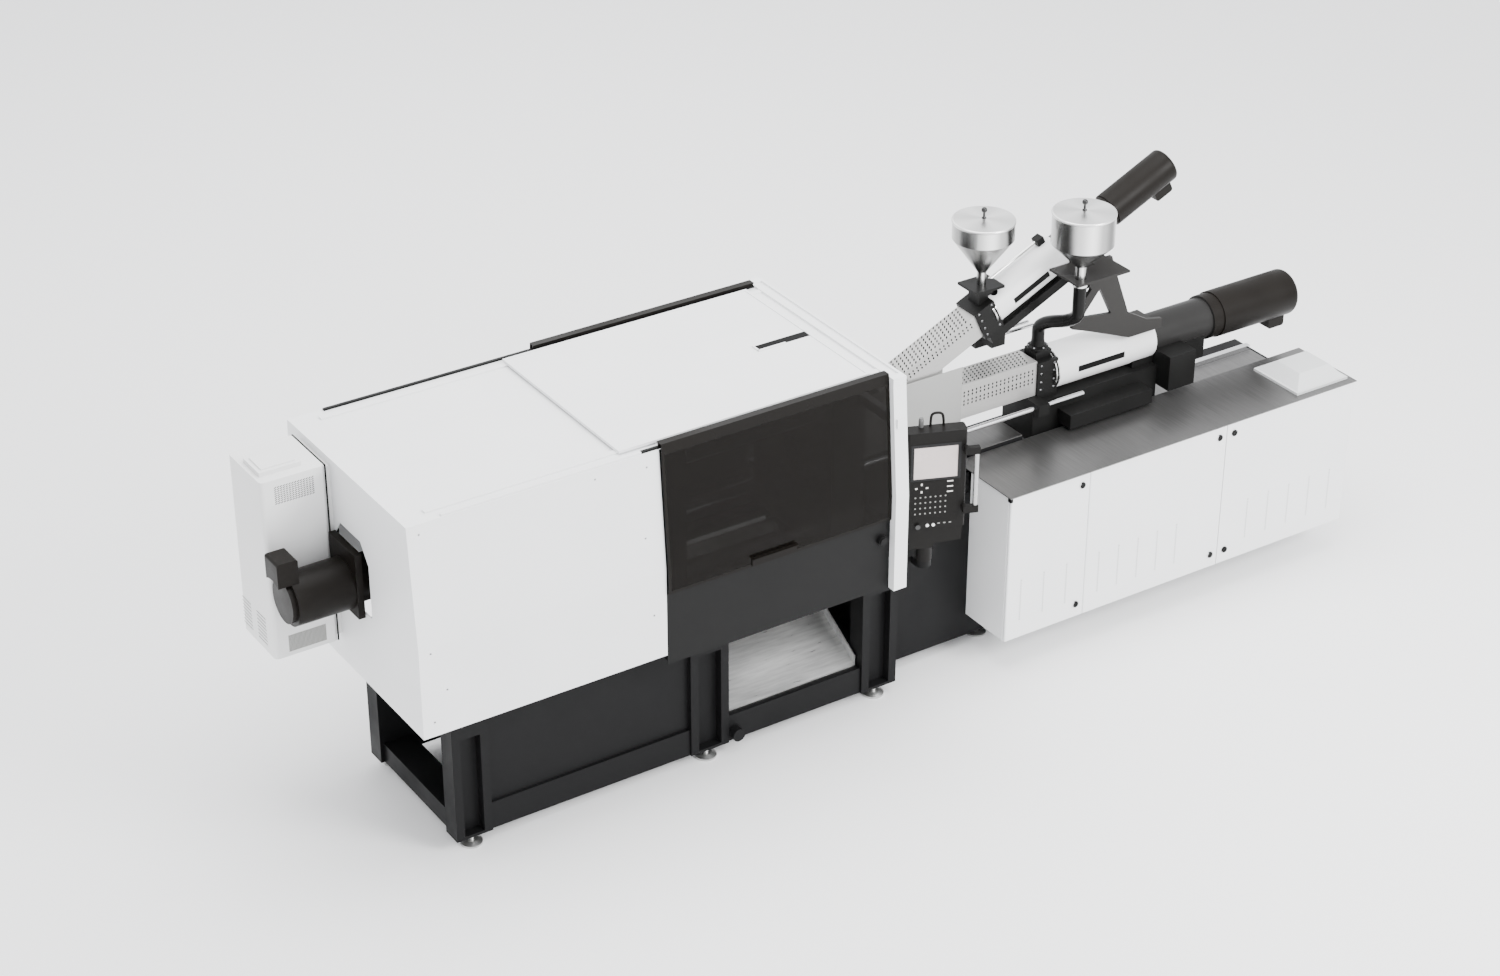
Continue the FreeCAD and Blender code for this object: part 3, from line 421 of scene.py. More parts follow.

# Slot in the roof cover for lifting chains: a black plate under the cover is painted shade inside the slot,
# with a low folded lip on two sides. The plate slides with the cover.
# Near-black for painted shade in slots and openings, and for the black filler-port rings.
shade_and_port_black = coated("shade_and_port_black", (0.004, 0.004, 0.004), 0.6, 0.15, 300, 0.1, shine=0.1)
lo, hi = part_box("roof_cover")
slot_y, slot_x, slot_half = (lo[1] + hi[1]) / 2 - 0.026, hi[0] - 0.310, 0.026
bm = bmesh.new()
add_block(bm, (slot_x, slot_y - slot_half, lo[2] + 0.004),
          (hi[0] - 0.012, slot_y + slot_half, lo[2] + 0.0108), 0.0003)
piece("roof_slot_shade_plate", bm, shade_and_port_black, "roof_cover")
bm = bmesh.new()
add_block(bm, (slot_x - 0.010, slot_y - slot_half - 0.008, hi[2] - 0.004),
          (slot_x - 0.001, slot_y + slot_half, hi[2] + 0.004), 0.0012)
add_block(bm, (slot_x - 0.010, slot_y - slot_half - 0.010, hi[2] - 0.004),
          (slot_x + 0.150, slot_y - slot_half - 0.001, hi[2] + 0.004), 0.0012)
piece("roof_slot_lip", bm, white_coat, "roof_cover")

# Dark aprons, sliding doors and the rails they hang from.
# Painted sheet steel, near black with a brown cast on the doors.
apron_coat = coated("apron_grey", (0.0075, 0.0075, 0.0075), 0.45, 0.1, shine=0.1)
door_coat = coated("door_brown_black", (0.0045, 0.0036, 0.0028), 0.34, 0.1, shine=0.1)
give(apron_coat, "side_aprons")
give(door_coat, "front_door", "rear_door")
black_coat = coated("black_paint", (0.005, 0.005, 0.005), 0.42, 0.15, shine=0.1)
give(black_coat, "panel_arm")


def rail_finish(name, white_end_x):
    """Black inside frame and rails; the front rail is made white along the white sheet."""
    m = coated(name, (0.005, 0.005, 0.005), 0.42, 0.15, shine=0.1)
    n, k = m.node_tree.nodes, m.node_tree.links
    b = n["Principled BSDF"]
    paint = b.inputs["Base Color"].links[0].from_socket
    co, part = n.new("ShaderNodeTexCoord"), n.new("ShaderNodeSeparateXYZ")
    k.new(co.outputs["Object"], part.inputs[0])
    left, front, both = (n.new("ShaderNodeMath") for _ in range(3))
    left.operation = front.operation = "LESS_THAN"
    both.operation = "MULTIPLY"
    left.inputs[1].default_value = white_end_x
    near_side = -0.4
    front.inputs[1].default_value = near_side
    k.new(part.outputs[0], left.inputs[0])
    k.new(part.outputs[1], front.inputs[0])
    k.new(left.outputs[0], both.inputs[0])
    k.new(front.outputs[0], both.inputs[1])
    mix = n.new("ShaderNodeMixRGB")
    mix.inputs[2].default_value = (0.80, 0.805, 0.81, 1)
    k.new(both.outputs[0], mix.inputs[0])
    k.new(paint, mix.inputs[1])
    k.new(mix.outputs[0], b.inputs["Base Color"])
    return m


give(rail_finish("frame_and_rail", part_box("housing_panels")[1][0] - 0.09), "housing_frame")

# Smoked polycarbonate panes in the sliding doors.
# Clear gloss sheet, tinted brown, thin enough to see the platens behind.
smoke = bpy.data.materials.new("smoked_pane")
smoke.use_nodes = True
sn, sk = smoke.node_tree.nodes, smoke.node_tree.links
sb = sn["Principled BSDF"]
grime = sn.new("ShaderNodeTexNoise")
grime.inputs["Scale"].default_value = 3.0
gco = sn.new("ShaderNodeTexCoord")
sk.new(gco.outputs["Object"], grime.inputs["Vector"])
ramp = sn.new("ShaderNodeMapRange")
ramp.inputs["To Min"].default_value = 0.84
ramp.inputs["To Max"].default_value = 0.93
sk.new(grime.outputs["Fac"], ramp.inputs["Value"])
sk.new(ramp.outputs["Result"], sb.inputs["Alpha"])
tint = sn.new("ShaderNodeMixRGB")
tint.inputs[1].default_value = (0.0022, 0.0016, 0.0011, 1)
tint.inputs[2].default_value = (0.0036, 0.0028, 0.0020, 1)
sk.new(grime.outputs["Fac"], tint.inputs[0])
sk.new(tint.outputs[0], sb.inputs["Base Color"])
sb.inputs["Roughness"].default_value = 0.12
sb.inputs["Specular IOR Level"].default_value = 0.08
give(smoke, "front_door_window", "rear_door_window")

# Welded machine bases, painted black, and the steel adjusting feet.
# Rolled and plate steel with a thick coat; the feet are turned and bright.
base_coat = coated("base_black", (0.0072, 0.0072, 0.0075), 0.5, 0.18, 500, 0.06, shine=0.1)
give(base_coat, "base_frame", "injection_base")
foot_steel = coated("foot_steel", (0.55, 0.55, 0.54), 0.33, 0.1, 700, 0.02, 0, 0.95)
give(foot_steel, "levelling_feet")

# Platens, ejector and clamp ram: castings and ground steel behind the doors.
# Painted cast iron; the tie bars are hard-chromed round bar.
iron = coated("platen_paint", (0.09, 0.085, 0.08), 0.5, 0.12, 300, 0.1)
give(iron, "fixed_platen", "moving_platen", "rear_platen", "clamp_ram")
chrome = coated("hard_chrome", (0.68, 0.68, 0.69), 0.16, 0.05, 900, 0.005, 0, 1.0)
give(chrome, "tie_bars", "clamp_screw", "guide_rails", "ram_1", "ram_2", "screw_1", "screw_2", "ejector")


# Brushed stainless steel: cabinet top, chute, hoppers and perforated guards.
# A long grain along one axis breaks up the shine.
def brushed(name, colour, rough, grain, strength=0.25, metallic=1.0, shade=0.25):
    m = bpy.data.materials.new(name)
    m.use_nodes = True
    n, k = m.node_tree.nodes, m.node_tree.links
    b = n["Principled BSDF"]
    co = n.new("ShaderNodeTexCoord")
    mp = n.new("ShaderNodeMapping")
    mp.inputs["Scale"].default_value = grain
    k.new(co.outputs["Object"], mp.inputs["Vector"])
    t = n.new("ShaderNodeTexNoise")
    t.inputs["Scale"].default_value = 1.0
    t.inputs["Detail"].default_value = 6
    k.new(mp.outputs[0], t.inputs["Vector"])
    mix = n.new("ShaderNodeMixRGB")
    mix.inputs[1].default_value = (*[c * (1 - shade) for c in colour], 1)
    mix.inputs[2].default_value = (*[min(1, c * (1 + shade)) for c in colour], 1)
    k.new(t.outputs["Fac"], mix.inputs[0])
    k.new(mix.outputs[0], b.inputs["Base Color"])
    r = n.new("ShaderNodeMapRange")
    r.inputs["To Min"].default_value = rough - 0.08
    r.inputs["To Max"].default_value = rough + 0.1
    k.new(t.outputs["Fac"], r.inputs["Value"])
    k.new(r.outputs["Result"], b.inputs["Roughness"])
    bm = n.new("ShaderNodeBump")
    bm.inputs["Strength"].default_value = strength
    bm.inputs["Distance"].default_value = 0.0006
    k.new(t.outputs["Fac"], bm.inputs["Height"])
    k.new(bm.outputs["Normal"], b.inputs["Normal"])
    b.inputs["Metallic"].default_value = metallic
    return m


give(brushed("cabinet_top_steel", (0.17, 0.168, 0.165), 0.34, (180, 4, 180), 0.2, 0.9, 0.35), "steel_tops")
give(brushed("chute_steel", (0.72, 0.72, 0.71), 0.3, (8, 90, 8), 0.35, 0.8, 0.3), "parts_chute")


# Hoppers: spun and rolled stainless steel cones, polished round their own axis.
# Painted reflections: light and dark bands, set by the angle round the axis, run down the wall, with fine
# streaks of polish between.
def reflection_banded_steel(name, centre, reflection_tones, rough, streak=0.12):
    m = bpy.data.materials.new(name)
    m.use_nodes = True
    n, k = m.node_tree.nodes, m.node_tree.links
    b = n["Principled BSDF"]
    co = n.new("ShaderNodeTexCoord")
    mp = n.new("ShaderNodeMapping")
    mp.inputs["Location"].default_value = (-centre[0], -centre[1], 0)
    k.new(co.outputs["Object"], mp.inputs["Vector"])
    # painted reflections: the grey level follows the angle round the hopper axis
    reflection_angle = n.new("ShaderNodeTexGradient")
    reflection_angle.gradient_type = "RADIAL"
    k.new(mp.outputs[0], reflection_angle.inputs["Vector"])
    ramp = n.new("ShaderNodeValToRGB")
    ramp.color_ramp.interpolation = "EASE"
    stops = ramp.color_ramp.elements
    for i, tone in enumerate(reflection_tones):
        spot = i / (len(reflection_tones) - 1)
        e = stops[0] if i == 0 else (stops[-1] if i == len(reflection_tones) - 1 else stops.new(spot))
        e.position = spot
        e.color = (tone, tone, tone * 0.985, 1)
    k.new(reflection_angle.outputs["Fac"], ramp.inputs[0])
    turns = n.new("ShaderNodeMath")
    turns.operation = "MULTIPLY"
    turns.inputs[1].default_value = 260.0
    k.new(reflection_angle.outputs["Fac"], turns.inputs[0])
    line = n.new("ShaderNodeCombineXYZ")
    k.new(turns.outputs[0], line.inputs[0])
    fine = n.new("ShaderNodeTexNoise")
    fine.inputs["Scale"].default_value = 1.0
    fine.inputs["Detail"].default_value = 3
    k.new(line.outputs[0], fine.inputs["Vector"])
    mix = n.new("ShaderNodeMixRGB")
    mix.blend_type = "OVERLAY"
    mix.inputs[0].default_value = streak
    k.new(ramp.outputs[0], mix.inputs[1])
    k.new(fine.outputs["Fac"], mix.inputs[2])
    k.new(mix.outputs[0], b.inputs["Base Color"])
    r = n.new("ShaderNodeMapRange")
    r.inputs["To Min"].default_value = rough - 0.05
    r.inputs["To Max"].default_value = rough + 0.07
    k.new(fine.outputs["Fac"], r.inputs["Value"])
    k.new(r.outputs["Result"], b.inputs["Roughness"])
    b.inputs["Metallic"].default_value = 1.0
    return m


# grey levels of the painted reflection bands round the hopper walls and lids
wall_reflection_tones = (0.30, 0.13, 0.55, 0.85, 0.35, 0.16, 0.62, 0.90, 0.40, 0.20, 0.75, 0.42, 0.14, 0.58, 0.88,
              0.45, 0.30)
lid_reflection_tones = (0.80, 0.66, 0.88, 0.72, 0.92, 0.70, 0.86, 0.64, 0.80)
for number in (1, 2):
    lo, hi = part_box("hopper_%d" % number)
    axis = ((lo[0] + hi[0]) / 2, (lo[1] + hi[1]) / 2)
    give(reflection_banded_steel("hopper_wall_%d" % number, axis, wall_reflection_tones, 0.24), "hopper_%d" % number)
    give(reflection_banded_steel("hopper_lid_%d" % number, axis, lid_reflection_tones, 0.28, 0.06), "hopper_lid_%d" % number)

# Hopper lids: spun steel discs with a rolled rim and a black ball knob on a stem.
# Each lid drops over the mouth of its hopper and lifts off for filling.
knob_black = coated("knob_black", (0.005, 0.005, 0.005), 0.25, 0.1, 900, 0.02)
for number in (1, 2):
    node = "hopper_lid_%d" % number
    lo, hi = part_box(node)
    mid = ((lo[0] + hi[0]) / 2, (lo[1] + hi[1]) / 2, 0)
    r, low, high = (hi[0] - lo[0]) / 2, lo[2], hi[2]
    disc_top = low + 0.013
    bm = bmesh.new()
    add_turning(bm, ((r - 0.004, low), (r - 0.0012, low), (r, low + 0.003), (r, low + 0.009),
                     (r - 0.003, disc_top),
                     (r - 0.010, disc_top + 0.0005), (r * 0.55, disc_top + 0.004), (0.016, disc_top + 0.007),
                     (0, disc_top + 0.007)), mid, (0, 0, 1), 72)
    add_turning(bm, ((0, low + 0.002), (r - 0.004, low + 0.002), (r - 0.004, low)), mid, (0, 0, 1), 72)
    lid = piece(node + "_disc", bm, nodes[node].data.materials[0], node)
    for f in lid.data.polygons:
        f.use_smooth = True
    bm = bmesh.new()
    ball, stem = 0.015, disc_top + 0.0065
    arc = [(ball * math.cos(a * math.pi / 18),
            high - ball + ball * math.sin(a * math.pi / 18)) for a in range(-6, 10)]
    add_turning(bm, ((0.012, stem), (0.012, stem + 0.004), (0.006, stem + 0.007),
                     (0.006, arc[0][1] - 0.004), *arc[:-1],
                     (0, high)), mid, (0, 0, 1), 28)
    knob = piece(node + "_knob", bm, knob_black, node)
    for f in knob.data.polygons:
        f.use_smooth = True
    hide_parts(node)

# Barrel guards: perforated steel sheet folded over each hot barrel.
# Round holes run in double rows along the sides; slanting slots are punched in the top.
guard_steel = brushed("guard_steel", (0.40, 0.395, 0.385), 0.42, (8, 120, 120), 0.15, 0.5, 0.08)


def perforated_tree():
    """A flat sheet with a hole at every point, given its thickness."""
    t = bpy.data.node_groups.new("perforated_sheet", "GeometryNodeTree")
    face = t.interface
    face.new_socket("Geometry", in_out="INPUT", socket_type="NodeSocketGeometry")
    made = {}
    for name, kind in (("Width", "Float"), ("Height", "Float"), ("Hole Radius", "Float"),
                       ("Hole Stretch", "Vector"),
                       ("Hole Angle", "Vector"), ("Thickness", "Float"), ("Finish", "Material")):
        made[name] = face.new_socket(name, in_out="INPUT", socket_type="NodeSocket" + kind).identifier
    face.new_socket("Geometry", in_out="OUTPUT", socket_type="NodeSocketGeometry")
    n, k = t.nodes, t.links
    gi, go = n.new("NodeGroupInput"), n.new("NodeGroupOutput")
    edge = n.new("GeometryNodeCurvePrimitiveQuadrilateral")
    k.new(gi.outputs["Width"], edge.inputs["Width"])
    k.new(gi.outputs["Height"], edge.inputs["Height"])
    hole = n.new("GeometryNodeCurvePrimitiveCircle")
    hole.inputs["Resolution"].default_value = 8
    k.new(gi.outputs["Hole Radius"], hole.inputs["Radius"])
    turn = n.new("FunctionNodeEulerToRotation")
    k.new(gi.outputs["Hole Angle"], turn.inputs[0])
    put = n.new("GeometryNodeInstanceOnPoints")
    k.new(gi.outputs["Geometry"], put.inputs["Points"])
    k.new(hole.outputs[0], put.inputs["Instance"])
    k.new(turn.outputs[0], put.inputs["Rotation"])
    k.new(gi.outputs["Hole Stretch"], put.inputs["Scale"])
    real = n.new("GeometryNodeRealizeInstances")
    k.new(put.outputs[0], real.inputs[0])
    both = n.new("GeometryNodeJoinGeometry")
    k.new(real.outputs[0], both.inputs[0])
    k.new(edge.outputs[0], both.inputs[0])
    sheet = n.new("GeometryNodeFillCurve")
    k.new(both.outputs[0], sheet.inputs[0])
    thick = n.new("GeometryNodeExtrudeMesh")
    thick.inputs["Individual"].default_value = False
    k.new(sheet.outputs[0], thick.inputs["Mesh"])
    k.new(gi.outputs["Thickness"], thick.inputs["Offset Scale"])
    back = n.new("GeometryNodeFlipFaces")
    k.new(sheet.outputs[0], back.inputs[0])
    whole = n.new("GeometryNodeJoinGeometry")
    k.new(thick.outputs[0], whole.inputs[0])
    k.new(back.outputs[0], whole.inputs[0])
    weld = n.new("GeometryNodeMergeByDistance")
    weld.inputs["Distance"].default_value = 0.00002
    k.new(whole.outputs[0], weld.inputs[0])
    finish = n.new("GeometryNodeSetMaterial")
    k.new(weld.outputs[0], finish.inputs["Geometry"])
    k.new(gi.outputs["Finish"], finish.inputs["Material"])
    k.new(finish.outputs[0], go.inputs[0])
    return t, made


perforated_sheet, sheet_inputs = perforated_tree()
sprue = (0.007, 0.06736, 1.335)
sheet = 0.002


def along_barrel(degrees):
    """Local x runs back along a barrel from the sprue, y across it and z square to it."""
    return Matrix.Translation(sprue) @ Matrix.Rotation(math.radians(-degrees), 4, "Y")


def rows_of(length, heights, pitch, margin):
    count = int((length - 2 * margin) / pitch)
    return [(-count * pitch / 2 + i * pitch, h, 0) for h in heights for i in range(count + 1)]


guards = ((1, 0.0, 0.712, 1.260, 0.080, -0.098, 0.100, (0.052, 0.032, 0.002, -0.018)),
          (2, 25.0, 0.420, 0.965, 0.070, -0.070, 0.070, (0.044, 0.024)))
for number, degrees, start, end, half, low, high, rows in guards:
    node, body = "barrel_guard_%d" % number, "carriage" if number == 1 else "unit_2"
    length, middle, tall = end - start, (start + end) / 2, high - low
    lie = along_barrel(degrees)
    across = [(x + y * 0.25, y, 0) for x, y, z in rows_of(length, [-0.060 + 0.024 * i for i in range(6)],
                                                          0.026, 0.034)
              if abs(y) < half - 0.010]
    plates = (("near", tall, rows_of(length, rows, 0.026, 0.026), (0.85, 1.25, 1), 0.0,
               Matrix.Translation((middle, -half + sheet, (low + high) / 2)) @ Matrix.Rotation(math.pi / 2,
                                                                                               4, "X")),
              ("far", tall, rows_of(length, [-h for h in rows], 0.026, 0.026), (0.85, 1.25, 1), 0.0,
               Matrix.Translation((middle, half - sheet, (low + high) / 2)) @ Matrix.Rotation(-math.pi / 2,
                                                                                              4, "X")),
              ("top", 2 * (half - sheet), across, (1.9, 0.75, 1), 0.9,
               Matrix.Translation((middle, 0, high - sheet))))
    for name, height, points, stretch, angle, place in plates:
        grown("%s_%s" % (node, name), perforated_sheet, sheet_inputs,
                           {"Width": length, "Height": height, "Hole Radius": 0.0058, "Hole Stretch": stretch,
                            "Hole Angle": (0.0, 0.0, angle), "Thickness": sheet, "Finish": guard_steel},
                           lie @ place, body, points)
    bm = bmesh.new()
    for x in (start, end - sheet):
        add_block(bm, (x, -half + sheet, high - 0.030), (x + sheet, half - sheet, high - sheet), 0.0, lie)
        for y in (-half + sheet, half - 0.020 - sheet):
            add_block(bm, (x, y, low), (x + sheet, y + 0.020, high - 0.030), 0.0, lie)
    piece(node + "_end_folds", bm, guard_steel, body)
    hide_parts(node)
    # a black liner close behind the sheet is painted shade inside the guard, dark through the holes
    gap = sheet + 0.004
    bm = bmesh.new()
    add_block(bm, (start + 0.004, -half + gap, low + 0.004), (end - 0.004, -half + gap + 0.001, high - gap),
              0, lie)
    add_block(bm, (start + 0.004, half - gap - 0.001, low + 0.004), (end - 0.004, half - gap, high - gap),
              0, lie)
    add_block(bm, (start + 0.004, -half + gap, high - gap), (end - 0.004, half - gap, high - gap + 0.001),
              0, lie)
    piece(node + "_liner", bm, seal_and_shade_black, body)
give(coated("plain_guard_grey", (0.33, 0.33, 0.32), 0.45, 0.03, 900, 0.02, 0, 0.2), "nozzle_guard")
give(brushed("barrel_steel", (0.35, 0.34, 0.33), 0.4, (20, 90, 90)), "barrel_1", "barrel_2")

# Injection units: white drum covers, black castings, motors and carriage.
# Motors are die-cast housings with a fine matt coat, bolted to a smoother gearbox casting.
give(coated("cover_white", (0.80, 0.80, 0.80), 0.38, 0.02), "unit_cover_1", "unit_cover_2")
motor_coat = coated("motor_black", (0.007, 0.0058, 0.0048), 0.42, 0.2, 420, 0.12, shine=0.1)
give(motor_coat, "clamp_motor")
cast_black = coated("cast_black", (0.0085, 0.0085, 0.0082), 0.42, 0.2, 260, 0.15, shine=0.1)
give(cast_black, "carriage", "feed_block_1", "feed_block_2", "incline_beam")
give(coated("bracket_grey", (0.026, 0.025, 0.024), 0.38, 0.12, 260, 0.1, shine=0.1), "hopper_bracket")
give(coated("feed_pipe_coat", (0.007, 0.007, 0.0068), 0.3, 0.15, 300, 0.1, shine=0.1), "feed_pipe")

band_steel = brushed("band_steel", (0.72, 0.72, 0.71), 0.22, (200, 12, 12), 0.1)

# Curved feed pipe: a thick-walled bent tube from the second hopper down to the level unit.
# Black enamel, with a bright collar at the top and a bolted flange at its foot.
lo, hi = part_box("feed_pipe")
hopper_lo, hopper_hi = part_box("hopper_2")
pipe_r, pipe_inset = 0.034, 0.026
top = Vector((hopper_lo[0] / 2 + hopper_hi[0] / 2, hopper_lo[1] / 2 + hopper_hi[1] / 2, hi[2]))
foot = Vector((lo[0] + pipe_inset, sprue[1], lo[2]))


def bent_tube(name, points, radius, resolution):
    """A capped round tube swept along a smooth line, as an open bmesh."""
    route = bpy.data.curves.new(name, "CURVE")
    route.dimensions = "3D"
    route.bevel_depth = radius
    route.bevel_resolution = resolution
    route.use_fill_caps = True
    spline = route.splines.new("NURBS")
    spline.points.add(len(points) - 1)
    for point, spot in zip(spline.points, points):
        point.co = (*spot, 1)
    spline.order_u = 3
    spline.use_endpoint_u = True
    holder = bpy.data.objects.new(name, route)
    bpy.context.scene.collection.objects.link(holder)
    swept = bpy.data.meshes.new_from_object(holder.evaluated_get(bpy.context.evaluated_depsgraph_get()))
    bpy.data.objects.remove(holder)
    bm = bmesh.new()
    bm.from_mesh(swept)
    return bm


points = [top - Vector((0, 0, drop)) for drop in (0.015, 0.12, 0.23)]
points += [foot + Vector((0, 0, rise)) for rise in (0.15, 0.06, 0.004)]
bm = bent_tube("pipe_route", points, pipe_r, 6)
pipe = piece("feed_pipe_body", bm, nodes["feed_pipe"].data.materials[0], "carriage")
for f in pipe.data.polygons:
    f.use_smooth = True
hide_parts("feed_pipe")
bm = bmesh.new()
add_turning(bm, ((pipe_r, -0.030), (pipe_r + 0.004, -0.030), (pipe_r + 0.004, -0.004), (pipe_r, -0.004),
                 (pipe_r, -0.030)),
            top, (0, 0, 1), 40)
piece("feed_pipe_collar", bm, band_steel, "carriage")
bm = bmesh.new()
add_turning(bm, ((0.030, 0.002), (0.056, 0.002), (0.056, 0.014), (0.040, 0.020), (pipe_r, 0.050),
                 (0.030, 0.050)),
            foot, (0, 0, 1), 40)
piece("feed_pipe_flange", bm, cast_black, "carriage")
bolts = [(foot + Vector((0.049 * math.cos(a), 0.049 * math.sin(a), 0.0155)), (0, 0, 1))
         for a in [math.pi * (2 * i + 1) / 6 for i in range(6)]]
set_out("feed_pipe_bolts", sheet_screws, screw_inputs,
        {"Head Radius": 0.005, "Head Height": 0.006, "Finish": zinc},
        bolts, "carriage")

# Clamp bands at the front of each drum: narrow turned rings of bright steel.
# Two bands close each drum on its flange.
for number, degrees, body, r, front in ((1, 0.0, "carriage", 0.118, 1.390),
                                        (2, 25.0, "unit_2", 0.096, 1.090)):
    lie = along_barrel(degrees)
    line = lie.to_3x3() @ Vector((1, 0, 0))
    bm = bmesh.new()
    for start, width, ring in ((front - 0.007, 0.007, r), (front - 0.024, 0.007, r - 0.001)):
        add_turning(bm, ((ring - 0.030, start), (ring, start), (ring, start + width),
                         (ring - 0.030, start + width),
                         (ring - 0.030, start)), sprue, line, 56)
    piece("drum_bands_%d" % number, bm, band_steel, body)


# Gearbox castings in front of the motors: the same casting, painted a smoother dark grey.
# The paint changes at the joint face, a fixed distance along each unit.
def two_tone(name, first, second, joint_x):
    m = coated(name, second, 0.40, 0.2, 420, 0.1, shine=0.1)
    n, k = m.node_tree.nodes, m.node_tree.links
    b = n["Principled BSDF"]
    paint = b.inputs["Base Color"].links[0].from_socket
    co, part = n.new("ShaderNodeTexCoord"), n.new("ShaderNodeSeparateXYZ")
    k.new(co.outputs["Object"], part.inputs[0])
    behind = n.new("ShaderNodeMath")
    behind.operation = "GREATER_THAN"
    behind.inputs[1].default_value = joint_x
    k.new(part.outputs[0], behind.inputs[0])
    mix = n.new("ShaderNodeMixRGB")
    mix.inputs[1].default_value = (*first, 1)
    k.new(behind.outputs[0], mix.inputs[0])
    k.new(paint, mix.inputs[2])
    k.new(mix.outputs[0], b.inputs["Base Color"])
    return m


gearbox_grey, motor_black = (0.020, 0.0195, 0.019), (0.007, 0.0058, 0.0048)
for number, joint_x in ((1, 2.447), (2, 1.684)):
    paint = two_tone("drive_paint_%d" % number, gearbox_grey, motor_black, joint_x)
    give(paint, "unit_drive_%d" % number)

# Painted shade behind the openings in the drum covers: a black plate just inside each opening; and a filler
# port near the front of each drum.
# The port is a turned black ring with a plug in it.
for number, degrees, body, r, start, end, port in ((1, 0.0, "carriage", 0.118, 1.508, 1.822, None),
                                                   (2, 25.0, "unit_2", 0.096, 1.188, 1.432, 1.130)):
    lie = along_barrel(degrees)
    bm = bmesh.new()
    # black plate just inside the cover opening: painted shade
    add_block(bm, (start, -r + 0.005, -0.026), (end, -r + 0.007, 0.026), 0.0005, lie)
    piece("drum_shade_plate_%d" % number, bm, shade_and_port_black, body)
    if port:
        bm = bmesh.new()
        add_turning(bm, ((0.0215, -0.006), (0.0215, 0.0035), (0.017, 0.0045), (0.015, 0.001), (0, 0.001)),
                    lie @ Vector((port, -0.036, r - 0.007)), lie.to_3x3() @ Vector((0, -0.375, 0.927)), 28)
        piece("drum_port_%d" % number, bm, shade_and_port_black, body)

# Flange screws on the faces of the two feed blocks, zinc plated socket heads.
# Each block is bolted through to the barrel flange in two columns.
for number, degrees, body, middle in ((1, 0.0, "carriage", 1.325), (2, 25.0, "unit_2", 1.028)):
    lie = along_barrel(degrees)
    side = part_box("feed_block_%d" % number)[0][1] - sprue[1]
    heads = [(lie @ Vector((middle + dx, side, dz)), (0, -1, 0))
             for dx in (-0.042, 0.042) for dz in (-0.070, -0.025, 0.025, 0.070)]
    set_out("feed_block_%d_screws" % number, sheet_screws, screw_inputs,
            {"Head Radius": 0.0065, "Head Height": 0.005, "Finish": zinc}, heads, body)

# Hinged cover stay on the inclined unit: a bright rod held in two black clamp blocks.
# It runs along the top of the drum and travels with the inclined unit.
lie = along_barrel(25.0)
line = lie.to_3x3() @ Vector((1, 0, 0))
bm = bmesh.new()
add_turning(bm, ((0, 1.085), (0.0095, 1.085), (0.0095, 1.50), (0, 1.50)), lie @ Vector((0, 0.030, 0.116)),
            line, 20)
piece("stay_rod", bm, band_steel, "unit_2")
bm = bmesh.new()
for start in (1.070, 1.480):
    add_block(bm, (start, 0.004, 0.092), (start + 0.045, 0.056, 0.134), 0.004, lie)
piece("stay_clamps", bm, cast_black, "unit_2")

# Operator's panel: moulded black housing, display, keypad and caps.
# The front frame is a raised moulding; the keys are domes under a printed film, left plain here.
panel_black = coated("panel_black", (0.0075, 0.007, 0.0065), 0.46, 0.12, 700, 0.12, shine=0.1)
give(panel_black, "panel_housing")
give(coated("display_face", (0.50, 0.435, 0.42), 0.25, 0.05, 900, 0.0, 0.3), "panel_screen")
give(coated("keypad_film", (0.006, 0.0055, 0.005), 0.35, 0.1, 900, 0.03, shine=0.1), "panel_keypad")
give(coated("stop_cap", (0.02, 0.02, 0.02), 0.3, 0.1), "emergency_stop")
give(coated("button_cap", (0.80, 0.80, 0.79), 0.3, 0.05), "push_button_1", "push_button_2")
swivel, panel_turn = (0.147, -0.57264), math.radians(-22)
on_panel = (Matrix.Translation((*swivel, 0)) @ Matrix.Rotation(panel_turn, 4, "Z")
            @ Matrix.Translation((-swivel[0], -swivel[1], 0)))
panel_face = -0.63464
screen = (0.071, 1.385, 0.291, 1.560)
bezel_grey = coated("bezel_grey", (0.016, 0.016, 0.0165), 0.4, 0.1, 700, 0.08, shine=0.1)
bm = bmesh.new()
rim, lip = 0.016, 0.0022
for x0, z0, x1, z1 in ((screen[0] - rim, screen[3], screen[2] + rim, screen[3] + rim),
                       (screen[0] - rim, screen[1] - 0.010, screen[2] + rim, screen[1]),
                       (screen[0] - rim, screen[1], screen[0], screen[3]),
                       (screen[2], screen[1], screen[2] + rim, screen[3])):
    add_block(bm, (x0, panel_face - lip, z0), (x1, panel_face + 0.001, z1), 0.0009, on_panel)
piece("display_bezel", bm, bezel_grey, "control_panel")
key_grey = coated("key_grey", (0.22, 0.22, 0.21), 0.4, 0.1, 700, 0.05)
key_pale = coated("key_pale", (0.62, 0.60, 0.57), 0.4, 0.08, 700, 0.05)
key_grids = (("letters", 7, 4, (0.083, 0.235), (1.190, 1.282), (0.0075, 0.0075, 0.0016), key_grey),
             ("function", 1, 3, (0.256, 0.256), (1.304, 1.362), (0.030, 0.007, 0.0016), key_pale),
             ("arrows_across", 2, 1, (0.086, 0.140), (1.334, 1.334), (0.012, 0.009, 0.0016), key_pale),
             ("arrows_up", 1, 2, (0.113, 0.113), (1.313, 1.355), (0.009, 0.012, 0.0016), key_pale),
             ("lamps", 3, 1, (0.205, 0.262), (1.128, 1.128), (0.012, 0.006, 0.0016), key_grey))
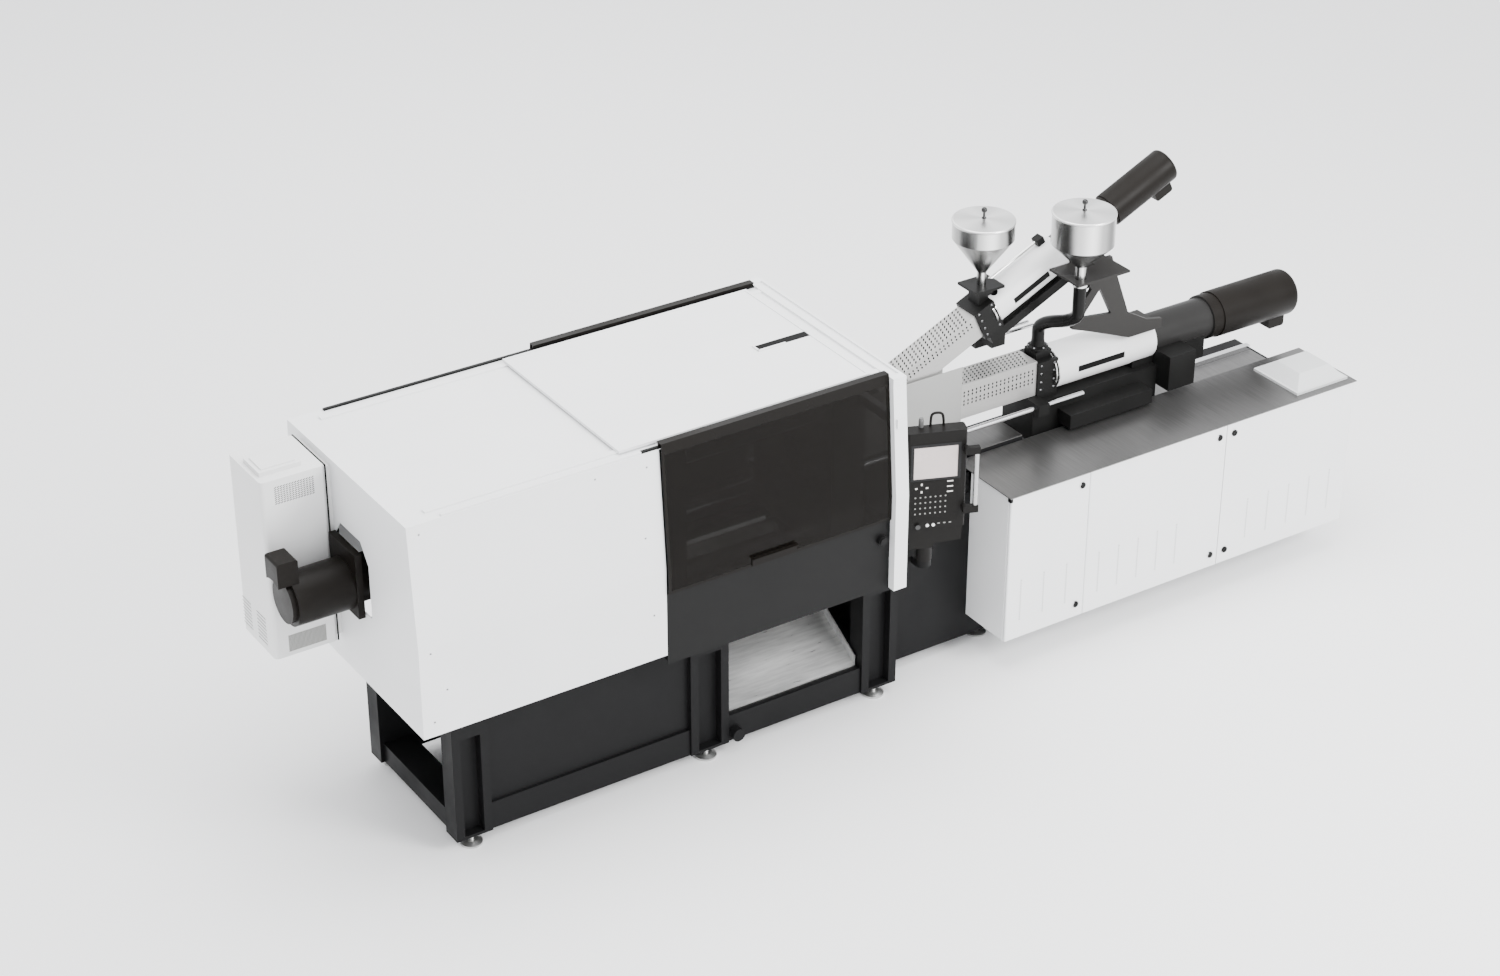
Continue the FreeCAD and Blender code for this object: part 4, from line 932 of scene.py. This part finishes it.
for name, columns, rows, xs, zs, size, finish in key_grids:
    grown("keys_" + name, punched_slots, slot_inputs,
          {"Columns": columns, "Rows": rows, "Width": xs[1] - xs[0], "Height": zs[1] - zs[0],
           "Slot Size": size,
           "Tilt": (0.0, 0.0, 0.0), "Finish": finish},
          on_panel @ facing("front", (sum(xs) / 2, panel_face - 0.0006, sum(zs) / 2)), "control_panel")
handle = on_panel @ Vector((0.379, -0.65864, 1.225))
handle_steel = coated("handle_steel", (0.42, 0.42, 0.42), 0.28, 0.06, 900, 0.01, 0, 0.95)
bm = bmesh.new()
add_turning(bm, ((0.0, 0.0), (0.0124, 0.0), (0.0124, 0.31), (0.0, 0.31)), handle, (0, 0, 1), 20)
piece("panel_handle_sleeve", bm, handle_steel, "control_panel")

# Cable hook and a small lamp tube behind the top of the panel.
# The hook is bent black rod; the lamp is a short grey tube on the panel's back edge.
rod_r = 0.0065
start = Vector((0.165, -0.566, 1.632))
points = [start, start + Vector((0, 0, 0.055)), start + Vector((0.010, 0, 0.078)),
          start + Vector((0.052, 0, 0.078)),
          start + Vector((0.066, 0, 0.055)), start + Vector((0.066, 0, 0))]
bm = bent_tube("hook_line", points, rod_r, 4)
bmesh.ops.transform(bm, matrix=on_panel, verts=bm.verts)
piece("panel_hook", bm, panel_black, "control_panel")
lamp_grey = coated("lamp_grey", (0.10, 0.10, 0.098), 0.3, 0.08, 900, 0.01)
bm = bmesh.new()
add_turning(bm, ((0, 0), (0.013, 0), (0.013, 0.040), (0.011, 0.043), (0.011, 0.050), (0, 0.052)),
            on_panel @ Vector((0.118, -0.566, 1.638)), (0, 0, 1), 24)
piece("panel_lamp", bm, lamp_grey, "control_panel")

# Studio: pale floor and soft light round the machine; the camera.
bpy.ops.mesh.primitive_plane_add(size=60, location=(0, 0, cad_box[0][2] - 0.0005))
floor = bpy.context.object
floor.name = "studio_floor"
fm = bpy.data.materials.new("studio_floor")
fm.use_nodes = True
fm.node_tree.nodes["Principled BSDF"].inputs["Base Color"].default_value = (0.93, 0.93, 0.93, 1)
fm.node_tree.nodes["Principled BSDF"].inputs["Roughness"].default_value = 0.9
floor.data.materials.append(fm)
world = bpy.data.worlds.new("studio")
bpy.context.scene.world = world
world.use_nodes = True
world.node_tree.nodes["Background"].inputs[0].default_value = (0.97, 0.98, 1.0, 1)
world.node_tree.nodes["Background"].inputs[1].default_value = 2.0
for name, place, size, power in (("key", (4, -9, 7), 5, 1500), ("top", (0, 0, 9), 8, 900),
                                 ("back", (2, 8, 7), 7, 200)):
    light = bpy.data.lights.new(name, "AREA")
    light.shape = "DISK"
    light.size = size
    light.energy = power
    o = bpy.data.objects.new(name, light)
    o.location = place
    o.rotation_euler = (Vector((0, 0, 0.8)) - Vector(place)).to_track_quat("-Z", "Y").to_euler()
    bpy.context.scene.collection.objects.link(o)
cam = bpy.data.cameras.new("camera")
cam.sensor_width = 36.0
cam.lens = 73.2
cam.clip_end = 100
eye = bpy.data.objects.new("camera", cam)
eye.location = (-7.6648, -10.9910, 8.7617)
eye.rotation_euler = Vector((0.4732, 0.7266, -0.4981)).to_track_quat("-Z", "Y").to_euler()
bpy.context.scene.collection.objects.link(eye)
bpy.context.scene.camera = eye
